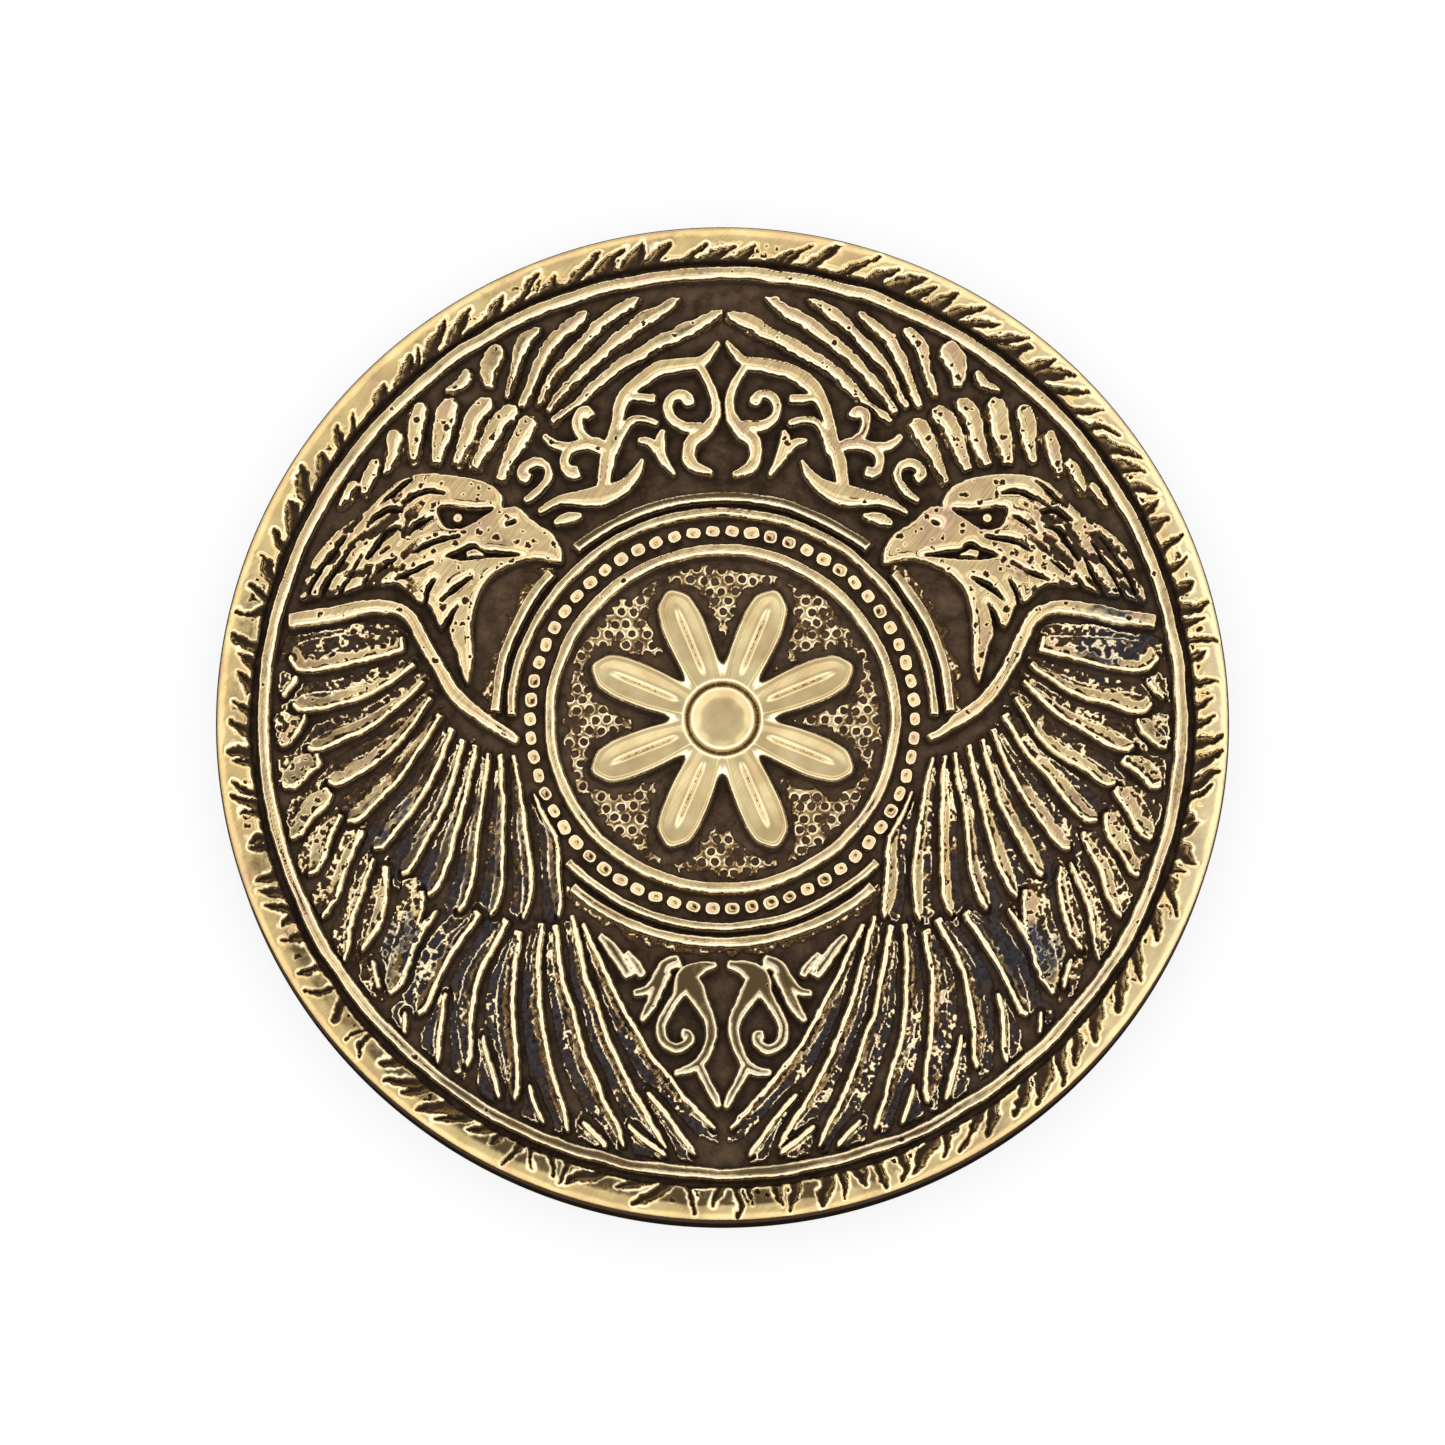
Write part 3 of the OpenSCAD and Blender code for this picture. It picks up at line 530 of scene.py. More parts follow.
# Name without its side: wobble of the edge, pit spacing, pit share, point that the feathers of the right side
# fan out from, reach of the torn apron outside the edge
FAMILIES = {
    "eagle_head": (0.035, 0.34, 0.4, None, 0),
    "wing_bow": (0.035, 0.42, 0.25, None, 0),
    "upper_feathers": (0.06, 0.42, 0.25, None, 0.14),
    "crown_coverts": (0.06, 0.4, 0.3, None, 0.22),
    "lower_coverts": (0.035, 0.5, 0.1, (10.0, 4.0), 0),
    "outer_coverts": (0.05, 0.3, 0.5, (10.0, 4.0), 0),
    "flight_feathers": (0.035, 0.5, 0.1, (8.6, -5.2), 0),
    "top_scroll": (0.03, 0.7, 0.15, None, 0),
    "bottom_scroll": (0.03, 0.7, 0.15, None, 0),
    "side_arc": (0.018, 0.8, 0.1, None, 0.55),
    "top_arc": (0.018, 0.8, 0.1, None, 0.25),
    "bottom_arc": (0.018, 0.8, 0.1, None, 0.45),
    "inner_ring": (0.018, 0.9, 0.1, None, 0),
    "outer_ring": (0.018, 0.9, 0.1, None, 0),
    "border_ring": (0.022, 0.9, 0.15, None, 0),
}
# Blue-grey stains: middle, radius, strength
STAINS = ((17.4, 4.5, 1.9, 0.9), (13.9, -10.2, 1.4, 1.0), (12.4, -10.9, 1.1, 0.6), (16.4, 2.9, 1.2, 0.5),
          (15.9, 6.6, 1.6, 0.3), (-15.9, 6.6, 1.6, 0.2), (-13.9, -10.2, 1.6, 0.8))
# Brown wash left on the flats, from 0 to 1, by a piece's whole name or its name without its side; the bottom
# scroll's heavy wash is mostly painted shade
WASH_AND_SHADE = {"left_upper_feathers": 0.32, "crown_coverts": 0.15, "left_outer_coverts": 0.25,
        "right_outer_coverts": 0.1, "top_arc": 0.8, "left_flight_feathers": 0.2, "right_flight_feathers": 0.1,
        "outer_ring": 0.4, "border_ring": 0.28, "inner_ring": 0.25, "side_arc": 0.35, "bottom_arc": 0.4,
        "bottom_scroll": 0.8}
LEAST_WASH = 0.05


def family_of(node):
    """A node's name without its side."""
    return node.replace("left_", "").replace("right_", "")


# Outlines of the nodes that stand on the floor with a flat top
OUTLINES = {n: outline_of(n) for n in sorted(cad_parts)
            if n not in ("coin_blank", "bead_row") and not n.endswith("eye")}
RELIEF_NODES = [n for n in OUTLINES if family_of(n) in FAMILIES]


def lower_left_shade(X, Y):
    """Nearness from 0 to 1 to the lower left of the coin, where the flats are darkened with painted shade."""
    away = (np.degrees(np.arctan2(Y, X)) - 236 + 180) % 360 - 180
    return hump(away, 34) * smooth(9, 19, np.hypot(X, Y))


def flecks(X, Y, seed):
    """Torn flecks of rough metal from 0 to 1."""
    grain = 0.7 * noise(X, Y, 0.22, seed) + 0.65 * noise(X, Y, 0.11, seed + 1)
    return np.clip(0.5 + 0.8 * grain, 0.04, 1)


def cut_nape(cast):
    """Cuts short torn grooves down an eagle's nape, between its plumes."""
    X, Y, seed = cast.X, cast.Y, cast.seed
    along, across = 0.76 * np.abs(X) - 0.65 * Y, 0.65 * np.abs(X) + 0.76 * Y
    plume = noise(along / 3.2, across, 0.2, seed + 8) + 0.35 * noise(X, Y, 0.16, seed + 9)
    nape = smooth(12.3, 14.4, np.abs(X)) * (1 - smooth(9.4, 10.6, Y))
    groove = nape * smooth(0.12, 0.4, plume)
    cast.share = cast.share * (1 - 0.4 * groove)
    cast.polish = cast.polish * (1 - 0.85 * groove)
    bank = 0.7 * nape * smooth(-0.1, 0.05, plume) * (1 - smooth(0.1, 0.2, plume))
    cast.edge = np.maximum(cast.edge, bank)


def spread_webs(cast, fan):
    """Gives feathers a bright ridge along one side, a smooth ribbon beside it and a rough web."""
    X, Y, seed, d, e, uneven = cast.X, cast.Y, cast.seed, cast.d, cast.e, cast.uneven
    field, edges, hand = cast.field, cast.edges, cast.hand
    middle = edges.mean(1) - np.array([hand * fan[0], fan[1]])
    run = edges[:, 1] - edges[:, 0]
    outward = np.stack([run[:, 1], -run[:, 0]], 1)
    turn = (middle[:, 0] * outward[:, 1] - middle[:, 1] * outward[:, 0]) * hand
    from_ridge = field.sample(field.distance(edges[turn < 0]), *cast.bent)
    from_web = field.sample(field.distance(edges[turn >= 0]), *cast.bent)
    ridge_w, ribbon_w = RIDGES[cast.family]
    web_rub, ribbon_rub, web_tarnish, web_wash = RUBBED[cast.family]

    # Webs spread past the drawn edge, up to a gap from the next feather
    root = np.hypot(X - hand * fan[0], Y - fan[1])
    others = np.concatenate([OUTLINES[n] for n in RELIEF_NODES if n != cast.node])
    clear = np.minimum(from_ridge - WEB_GAP, field.distance(others, WEB_SPREAD) - WEB_GAP)
    spread = WEB_SPREAD * (0.3 + 0.7 * smooth(2, 4.5, root))
    out = np.where((d < 0) & (from_web < from_ridge), np.minimum(spread + d, clear) + 2 * uneven, -1)
    web_e = np.where(d > 0, e, out)
    web = np.where(d > 0, smooth(ridge_w, ridge_w + 0.08, from_ridge + uneven),
                   (out > -DROP_RUN).astype(float))

    # The ribbon widens toward the tip of the feather, and a thin bright line runs along it in places
    ribbon_w = ribbon_w * (0.35 + 0.9 * smooth(2.5, 8, root))
    in_web = from_ridge - ridge_w + 3 * uneven
    ribbon = smooth(0.06, 0.13, in_web) * (1 - smooth(ribbon_w, ribbon_w + 0.1, in_web))
    ribbon = np.where(d > 0, ribbon, 0) * smooth(-0.8, -0.3, noise(X, Y, 2.2, seed + 9))
    lined = hump(in_web - ribbon_w - 0.04, 0.04) * (d > 0)
    lined = lined * smooth(-0.3, 0.1, noise(X, Y, 0.7, seed + 24)) * smooth(2.5, 4.5, root)

    # A thin bright hem runs along the far side of the web, and fine slanting lines cover it
    hem = hump(web_e - 0.1, 0.05) * (from_web < from_ridge)
    hem = hem * smooth(-0.3, 0.1, noise(X, Y, 1.3, seed + 22)) * smooth(2.5, 5, root)
    hatch = noise((0.62 * X + 0.78 * Y) / 6, 0.78 * X - 0.62 * Y, 0.1, seed + 23)
    low = (0.28 + 0.45 * cast.rough) * (1 - ribbon) + 0.7 * ribbon
    low = np.maximum(low, 0.75 * hem) * smooth(0.0, 0.12, web_e)
    cast.share = cast.share * (1 - web) + web * low
    cast.fall = np.where(web > 0.5, sunk(web_e), cast.fall)

    # Crusts of bright flecks lie on the web, fewest on the dark left wing
    dark = hand < 0 and cast.family == "lower_coverts"
    crust = smooth(-0.3, 0.4, noise(X, Y, 1.3, seed + 14)) * (0.4 if dark else 1)
    crust = np.maximum(crust, 0.85 - 0.85 * smooth(2, 4, np.hypot(np.abs(X) - 15.5, Y - 2.2)))
    crust = crust * (0.4 + 0.6 * smooth(2.5, 5, root))
    if cast.family == "outer_coverts":
        crust = np.maximum(crust, 0.65)
    flashes = cast.bright * (1 - ribbon) * crust
    hanging = 1 - smooth(-4, -1, Y) if dark else 0
    rubbed = web_rub + 0.12 * hatch + 0.55 * flashes + (ribbon_rub - 0.08 * hanging) * ribbon
    hem = np.maximum(hem, 0.8 * lined)
    cast.polish = cast.polish * (1 - web) + web * smooth(0.0, 0.1, web_e) * np.maximum(rubbed, hem)
    ridge = smooth(0.03, 0.09, e) * (0.93 + 0.07 * noise(X, Y, 0.5, seed + 17))
    cast.edge = np.maximum(cast.edge, ridge) * (1 - web) + web * np.maximum(0.7 * flashes, hem)
    foot = 1 - smooth(-7, 1, Y)
    cast.tarnish = cast.tarnish + web * ribbon * (0.1 + (0.9 if dark else 0.25) * foot) * (1 + 0.5 * hatch)
    cast.tarnish = cast.tarnish + web * (1 - ribbon) * (1 - flashes) * web_tarnish * (1 + foot)
    cast.wash = cast.wash + web * (web_wash - 0.5 * flashes) * (1 - (0.1 if dark else 0.5) * ribbon)


def tear_apron(cast, reach):
    """Leaves a low torn crust outside the edge, which on an arc lies along its outer side alone."""
    outside = cast.e < 0.03
    if cast.family.endswith("arc"):
        outside &= np.hypot(cast.X, cast.Y) > np.hypot(*cast.edges.mean(1).T).mean()
    torn = reach * (0.7 + 0.5 * noise(cast.X, cast.Y, 0.4, cast.seed + 10)) + cast.d
    near = smooth(0, reach, torn)
    apron = smooth(0, 0.08, torn)
    cast.share = np.where(outside, apron * (0.1 + (0.2 + 0.3 * near) * cast.rough), cast.share)
    cast.fall = np.where(outside, sunk(torn), cast.fall)
    cast.polish = np.where(outside, apron * (0.34 + 0.3 * cast.bright + 0.1 * near), cast.polish)
    cast.tarnish = np.where(outside, 0, cast.tarnish)
    cast.wash = np.where(outside, 0.6 - 0.6 * cast.bright, cast.wash)
    cast.edge = np.where(outside, 0.4 * cast.bright, cast.edge)


def pit_flats(cast, gap, share):
    """Sinks ragged casting pits into the flats, with pale borders painted round them as highlights."""
    X, Y, seed = cast.X, cast.Y, cast.seed
    ragged = [side + 0.07 * noise(X, Y, 0.11, seed + 21 + k) for k, side in enumerate((X, Y))]
    flat = smooth(0.12, 0.25, cast.e)
    hole = pits(*ragged, gap, PIT_R, share, seed + 11) * flat
    around = pits(*ragged, gap, PIT_BORDER_R, share, seed + 11) * flat
    cast.edge = np.maximum(cast.edge, 0.4 * smooth(0, 0.4, around) * (1 - smooth(0, 0.2, hole)))
    cast.share = cast.share * (1 - 0.3 * hole)
    cast.polish = cast.polish * (1 - 0.9 * smooth(0.05, 0.3, hole))


def relief_piece(node, seed):
    """A worn casting over a CAD node's outline, with a bright lip along its edges, painted as a highlight."""
    family, edges = family_of(node), OUTLINES[node]
    wobble, pit_gap, pit_share, fan, apron_w = FAMILIES[family]
    leaf = LEAF_SPREAD if family == "bottom_scroll" else 0
    margin = MARGIN + max(apron_w, WEB_SPREAD if fan else 0, leaf)
    field = Field(edges.min((0, 1)) - margin, edges.max((0, 1)) + margin, RELIEF_CELL)
    X, Y = field.X, field.Y
    # The cut of the die wanders a little
    bent = [side + 2.2 * wobble * noise(X, Y, 1.3, seed + 18 + k) for k, side in enumerate((X, Y))]
    d = field.sample(field.depth(edges), *bent)
    uneven = wobble * (noise(X, Y, 0.6, seed) + 0.8 * noise(X, Y, 0.17, seed + 1))
    e = d + EDGE_SPREAD + uneven + SCROLL_SPREAD.get(family, 0)
    e = e + leaf * np.exp(-((np.abs(X) - LEAF_X) ** 2 + (Y - LEAF_Y) ** 2) / LEAF_R ** 2)

    # Lips on sides that face the middle and the foot of the coin are made broad and the others narrow: a
    # painted highlight, as if light came from there
    slope_y, slope_x = np.gradient(d, field.cell)
    to_x, to_y = -0.75 * np.clip(X / 8, -1, 1), -0.8
    facing = np.clip(-(slope_x * to_x + slope_y * to_y) / np.hypot(to_x, to_y), -1, 1)
    facing = facing * (0.3 + 0.7 * smooth(-12, -8, Y))
    bevel = e / (1 + 0.58 * facing)
    share = lip_up(bevel) - 0.025 * (1 + noise(X, Y, 0.9, seed + 2)) * smooth(0.2, 0.4, e)
    lip_w = SCROLL_LIP_W if family == "bottom_scroll" else LIP_W
    # The lip is painted a little brighter on the sides that face that way
    edge = lip_edge(bevel, lip_w + 0.05 * noise(X, Y, 1.1, seed + 3)) * (0.9 + 0.1 * facing)
    edge = edge * (HEAD_LIP if family == "eagle_head" else 1)
    # Dark seams open in places between the lip and the flat
    seam = hump(bevel - 0.29, 0.045) * smooth(-0.1, 0.35, noise(X, Y, 1.2, seed + 4))
    polish = smooth(0.01, 0.13, e) * (1 - 0.75 * seam)

    wash = WASH_AND_SHADE.get(node, WASH_AND_SHADE.get(family, LEAST_WASH))
    wash = wash + 0.35 * noise(X, Y, 1.6, seed + 13) * smooth(0.15, 0.35, e)
    # Painted shade: flats toward the lower left of the coin are darker
    wash = wash + 0.35 * smooth(0.5, 1, lower_left_shade(X, Y))
    if family == "border_ring":
        # Painted shade: its flat is darkened at the foot of the coin
        wash = wash + 0.45 * smooth(15.5, 18.5, -Y)
    tarnish = 0.15 * noise(X, Y, 2.5, seed + 5)
    mottle = 0.3 * noise(X, Y, 0.8, seed + 15) + 0.25 * noise(X, Y, 0.3, seed + 16)
    for x, y, radius, amount in STAINS:
        tarnish = tarnish + amount * (1 - smooth(0.3, 1.3, np.hypot(X - x, Y - y) / radius + mottle))

    rough = flecks(X, Y, seed + 6)
    cast = SimpleNamespace(
        node=node, family=family, hand=-1 if node.startswith("left") else 1, seed=seed, edges=edges,
        field=field, X=X, Y=Y, bent=bent, d=d, e=e, uneven=uneven, rough=rough,
        bright=smooth(0.6, 0.76, rough), share=share, fall=sunk(e), polish=polish, edge=edge,
        tarnish=tarnish, wash=wash)
    if family == "eagle_head":
        cut_nape(cast)
    if fan:
        spread_webs(cast, fan)
    if apron_w:
        tear_apron(cast, apron_w)
    pit_flats(cast, pit_gap, pit_share)
    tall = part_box(node)[1].z / MM - FLOOR_Z
    height = np.minimum(cast.share, 1) * tall * UNDER_TOP + cast.fall
    piece = heightfield(node + "_casting", field, height, RELIEF_BRASS, polish=cast.polish, edge=cast.edge,
                        tarnish=cast.tarnish, wash=cast.wash)
    stands_for(piece, "worn_relief", node)


for count, name in enumerate(sorted(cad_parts)):
    if name in RELIEF_NODES:
        relief_piece(name, 100 + 10 * count)


PETALS = 8
# Radius of the groove round the boss
BOSS_R = 1.55
# How far the petals' corners are rounded
PETAL_EASE = 0.25


def eased(depth, reach):
    """Depth averaged over a square of that many points each way, which rounds corners."""
    width = 2 * round(reach) + 1
    kernel = np.ones(width) / width
    for axis in (0, 1):
        depth = np.apply_along_axis(np.convolve, axis, depth, kernel, "same")
    return depth


def rosette_piece():
    """Eight burnished petals with a crease down each, round a low boss set off by a groove."""
    node, seed = "rosette", 900
    edges = OUTLINES[node]
    field = Field(edges.min((0, 1)) - MARGIN, edges.max((0, 1)) + MARGIN, RELIEF_CELL)
    X, Y = field.X, field.Y
    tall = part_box(node)[1].z / MM - FLOOR_Z
    e = eased(field.depth(edges), PETAL_EASE / field.cell) + EDGE_SPREAD + 0.02 * noise(X, Y, 0.9, seed)
    r = np.hypot(X, Y)
    step = 2 * math.pi / PETALS
    off = np.abs((np.arctan2(Y, X) - math.pi / 2) % step - step / 2)
    crease = hump(r * np.sin(off), 0.1) * smooth(1.9, 2.6, r) * (1 - smooth(4.6, 5.6, r))
    groove = hump(r - BOSS_R, 0.12)
    sag = 0.1 * smooth(0.9, 1.5, r) * (1 - smooth(1.6, 4.5, r))
    dome = 0.88 + 0.12 * smooth(0.1, 1.0, e)
    share = lip_up(e) * dome * (1 - 0.16 * crease - 0.26 * groove - sag)
    polish = smooth(0.02, 0.12, e) * (1 - 0.7 * smooth(0.4, 0.9, groove))
    polish = polish * (1 - 0.5 * smooth(0.5, 0.95, crease))
    # Painted highlights: the lip, a ring beside the groove round the boss, and the flanks of each crease
    edge = np.maximum(lip_edge(e, 0.1), 0.7 * hump(np.abs(r - BOSS_R) - 0.2, 0.07))
    edge = np.maximum(edge, 0.6 * smooth(0.1, 0.3, crease) * (1 - smooth(0.4, 0.7, crease)))
    height = np.minimum(share, 1) * tall * UNDER_TOP + sunk(e)
    piece = heightfield(node + "_casting", field, height, ROSETTE_BRASS, polish=polish, edge=edge,
                        tarnish=np.full_like(X, -0.4))
    stands_for(piece, "polished_rosette", node)


rosette_piece()


RIM_TURNS = 2300
# Radius that distances along the rim are measured at, and those of its inner side and of its foot
RIM_MID = 21.2
RIM_INNER_R = 20.72
RIM_FOOT_R = 20.4
# How far in from the edge of the coin the foot's outer corner lies
FOOT_INSET = 0.3
# Rounding of the rim's outer shoulder, the rows of points on it, and the gap between those on the flat
RIM_ROUND = 0.55
SHOULDER_ROWS = 12
RIM_STEP = 0.055
# Cuts across the rim, clockwise: from and to angle, pitch, lean of the outer end along the rim for each mm
# outward, inner and outer radius, half width, share of its length where it is widest
RIM_CUTS = (
    (45, 27.5, 1.1, 1.0, 20.5, 21.85, 0.18, 0.2), (27.5, 0.5, 0.95, 0.0, 20.5, 21.8, 0.26, 0.0),
    (0.5, -20, 0.85, -0.25, 20.5, 21.75, 0.23, 0.0), (-20, -45, 1.5, 1.5, 20.55, 21.7, 0.2, 0.3),
    (-45, -67, 1.15, 1.2, 20.5, 21.75, 0.19, 0.25), (-67, -85, 0.95, 0.3, 20.5, 21.9, 0.17, 0.1),
    (-85, -95, 1.0, 0.0, 20.5, 21.9, 0.12, 0.0), (-95, -108, 1.5, 1.8, 20.6, 21.65, 0.16, 0.4),
    (-108, -119, 0.75, 0.1, 20.5, 21.8, 0.12, 0.0), (-119, -135, 1.0, 0.9, 20.5, 21.65, 0.16, 0.3),
    (-135, -153, 1.2, 0.2, 20.6, 21.9, 0.1, 0.3), (-153, -180, 0.85, 0.3, 20.5, 21.65, 0.18, 0.15),
    (180, 160, 1.0, 0.4, 20.55, 21.65, 0.18, 0.2), (160, 135, 1.4, 1.4, 20.55, 21.6, 0.2, 0.35),
    (135, 102.5, 1.3, 1.3, 20.5, 21.75, 0.2, 0.25), (102.5, 72, 1.2, 1.2, 20.5, 21.7, 0.21, 0.2),
    (72, 45, 1.05, 1.0, 20.5, 21.85, 0.19, 0.2),
)
# Share of the rim's height at these distances from a cut: a rounded shoulder
CUT_AT = (0.0, 0.05, 0.1, 0.16, 0.24, 0.36)
CUT_UP = (0.0, 0.58, 0.84, 0.95, 0.99, 1.0)
# Share of the rim's height left at the bottom of a cut
CUT_FLOOR = 0.45
# How far along the rim from its middle a cut is looked for
CUT_REACH = 2.4


def rim_cuts(seed):
    """Ends, half width and widest place of each cut, measured along and across the rim."""
    rng = np.random.RandomState(seed)
    cuts = []
    for start, end, pitch, lean, low, high, half, peak in RIM_CUTS:
        arc = math.radians(start - end) * RIM_MID
        count = round(arc / pitch)
        for k in range(count):
            u = rng.uniform(-1, 1, 5)
            s = math.radians(start) * RIM_MID - (k + 0.5 + 0.32 * u[0]) * arc / count
            r0, r1 = low + 0.06 * u[1], high + 0.32 * u[2] - 0.08
            slide = (lean + 0.5 * u[3]) * (r1 - r0)
            cuts.append((s + slide / 2, r0, s - slide / 2, r1, half * (0.9 + 0.45 * u[4]), peak))
    return cuts


def off_cuts(along, S, R, cuts):
    """Distance of the rim's points from the nearest cut, negative within one, and place across it."""
    d = np.full(S.shape, REACH)
    across = np.zeros(S.shape)
    whole = 2 * math.pi * RIM_MID
    for s0, r0, s1, r1, half, peak in cuts:
        turn = (s0 + s1) / 2
        near = np.abs((along - turn + whole / 2) % whole - whole / 2) < CUT_REACH
        px = (S[near] - turn + whole / 2) % whole - whole / 2 - (s0 - s1) / 2
        py = R[near] - r0
        ax, ay = s1 - s0, r1 - r0
        t = np.clip((px * ax + py * ay) / (ax * ax + ay * ay), 0, 1)
        gap = np.hypot(px - t * ax, py - t * ay)
        side = np.where(t < peak, (peak - t) / max(peak, 0.01), (t - peak) / (1 - peak))
        wide = half * (1 - side ** 2)
        closer = gap - wide < d[near]
        sideways = (px * ay - py * ax) / math.hypot(ax, ay) / np.maximum(wide, 0.02)
        d[near] = np.where(closer, gap - wide, d[near])
        across[near] = np.where(closer, np.clip(sideways, -1, 1), across[near])
    return d, across


def ring_mesh(profile_r, profile_z, turns):
    """Quads of a closed profile swept round the axis; r and z have a row for each turn."""
    count = profile_r.shape[1]
    angle = np.arange(turns) * 2 * math.pi / turns
    points = np.stack([profile_r * np.cos(angle)[:, None], profile_r * np.sin(angle)[:, None], profile_z], 2)
    i, k = np.meshgrid(np.arange(turns), np.arange(count), indexing="ij")
    ahead, over = (i + 1) % turns, (k + 1) % count
    quads = np.stack([i * count + k, i * count + over, ahead * count + over, ahead * count + k], 2)
    return points.reshape(-1, 3), quads.reshape(-1, 4)


def rim_piece():
    """The rim: torn cuts across its inner part, a smooth rounded band outside."""
    node, seed = "rim_band", 950
    angle = np.arange(RIM_TURNS) * 2 * math.pi / RIM_TURNS
    shoulder_r = COIN_R - RIM_ROUND * (1 - np.sin(np.linspace(0, 1, SHOULDER_ROWS) * math.pi / 2))
    flat_r = np.arange(RIM_FOOT_R, COIN_R - RIM_ROUND - 0.03, RIM_STEP)
    R = np.tile(np.concatenate([flat_r, shoulder_r]), (RIM_TURNS, 1))
    along = angle * RIM_MID
    S = np.broadcast_to(along[:, None], R.shape)
    X, Y = R * np.cos(angle)[:, None], R * np.sin(angle)[:, None]
    crumbs = 0.04 * noise(X, Y, 0.3, seed) + 0.04 * noise(X, Y, 0.12, seed + 1)
    bent_s = S + 0.22 * noise(X, Y, 0.8, seed + 2) + 0.06 * noise(X, Y, 0.25, seed + 3)
    bent_r = R + 0.12 * noise(X, Y, 0.8, seed + 4) + 0.05 * noise(X, Y, 0.25, seed + 5)
    cut, across = off_cuts(along, bent_s, bent_r, rim_cuts(seed + 6))
    cut = cut + crumbs
    side = R - RIM_INNER_R + 0.05 * noise(X, Y, 1.2, seed + 7) + 0.6 * crumbs
    e = np.minimum(cut, side)
    out = np.clip((R - (COIN_R - RIM_ROUND)) / RIM_ROUND, 0, 1)
    band = 1 - 0.4 * (1 - np.sqrt(1 - out ** 2))
    torn = noise(X, Y, 0.22, seed + 8) + 0.4 * noise(X, Y, 0.1, seed + 15)
    hole = smooth(0.4, 0.65, torn) * (1 - smooth(21.35, 21.6, R)) * smooth(0.1, 0.2, e)
    hole = hole * smooth(-0.3, 0.3, noise(X, Y, 1.6, seed + 11))
    worn = 0.03 * (1 + noise(X, Y, 0.7, seed + 9)) * (1 - out)
    # Each cut has a steep dark side and a brown one that slopes up
    within = (1 - smooth(-0.02, 0.05, cut)) * smooth(0.02, 0.12, side)
    slope = within * smooth(-0.5, 0.9, across + 0.3 * noise(X, Y, 0.2, seed + 12))
    rise = np.maximum(np.interp(cut, CUT_AT, CUT_UP), 0.6 * slope)
    share = lip_up(side) * (CUT_FLOOR + (1 - CUT_FLOOR) * rise) * (1 - 0.3 * hole - worn)
    Z = FLOOR_Z + np.minimum(share, 1) * (RIM_TOP - FLOOR_Z) * UNDER_TOP * band + sunk(side)
    in_cut = within * (0.1 + 0.15 * noise(X, Y, 0.14, seed + 14)) + 0.45 * slope
    polish = np.maximum(smooth(0.02, 0.11, e), in_cut)
    polish = polish * (1 - 0.8 * smooth(0.1, 0.6, hole)) * (1 - smooth(0.8, 0.93, out))
    edge = lip_edge(e, 0.13 + 0.05 * noise(X, Y, 0.9, seed + 10))
    # Painted highlight: the outer band is painted palest on the right
    right_band_highlight = 0.5 * np.clip(np.cos(S / RIM_MID - math.radians(5)), 0, 1) ** 2
    edge = np.maximum(edge, right_band_highlight * smooth(21.0, 21.6, R) * smooth(0.05, 0.2, cut))
    wash = 0.15 + 0.3 * noise(X, Y, 1.3, seed + 13) * (1 - out) + 0.25 * hump(np.maximum(cut, 0), 0.14)
    wash = np.maximum(wash, 0.95 * within - 0.4 * slope)
    # Painted shade: the rim is darker toward the lower left of the coin
    wash = wash + 0.65 * lower_left_shade(X, Y) * (1 - smooth(21.3, 21.7, R))
    # Painted shade: the plates at the foot of the coin are darkened in their middles
    plate = smooth(0.12, 0.25, cut) * smooth(0.16, 0.3, side) * (1 - smooth(21.45, 21.7, R))
    wash = wash + 0.55 * plate * hump(S / RIM_MID - math.radians(272), math.radians(22))
    # Under its top the rim ends in a flat foot, sunk into the blank
    foot_r = (COIN_R, COIN_R - FOOT_INSET, RIM_FOOT_R)
    foot_z = (FLOOR_Z, FLOOR_Z - SINK - SKIRT, FLOOR_Z - SINK - SKIRT)
    rows = (RIM_TURNS, 1)
    points, quads = ring_mesh(np.concatenate([R, np.tile(foot_r, rows)], 1),
                              np.concatenate([Z, np.tile(foot_z, rows)], 1), RIM_TURNS)
    finish = {key: np.pad(values, ((0, 0), (0, len(foot_r)))).ravel()
              for key, values in (("polish", polish), ("edge", edge), ("wash", wash))}
    piece = make_piece(node + "_casting", points, quads, np.zeros((0, 3)), RIM_BRASS,
                       tarnish=np.full(len(points), -0.35), **finish)
    stands_for(piece, "polished_rim", node)


rim_piece()


# The cast floor is a grid out to this radius, and plain from there to the edge, under the rim
FLOOR_R = 21.8
# How far from the relief the floor is darkened with painted shade
CORNER_REACH = 0.9
EDGE_TURNS = 720
# Rounding of the lower edge, the rows of points on it, and the row above it as a share of the floor's height
EDGE_ROUND = 0.4
ROUND_ROWS = 6
EDGE_ROW = 0.55
REVERSE_RINGS = (19.0, 14.0, 9.0, 4.0)
# Blackness from 0 to 1 of the edge and of the browner reverse
EDGE_BLACK, REVERSE_BLACK = 0.9, 0.45


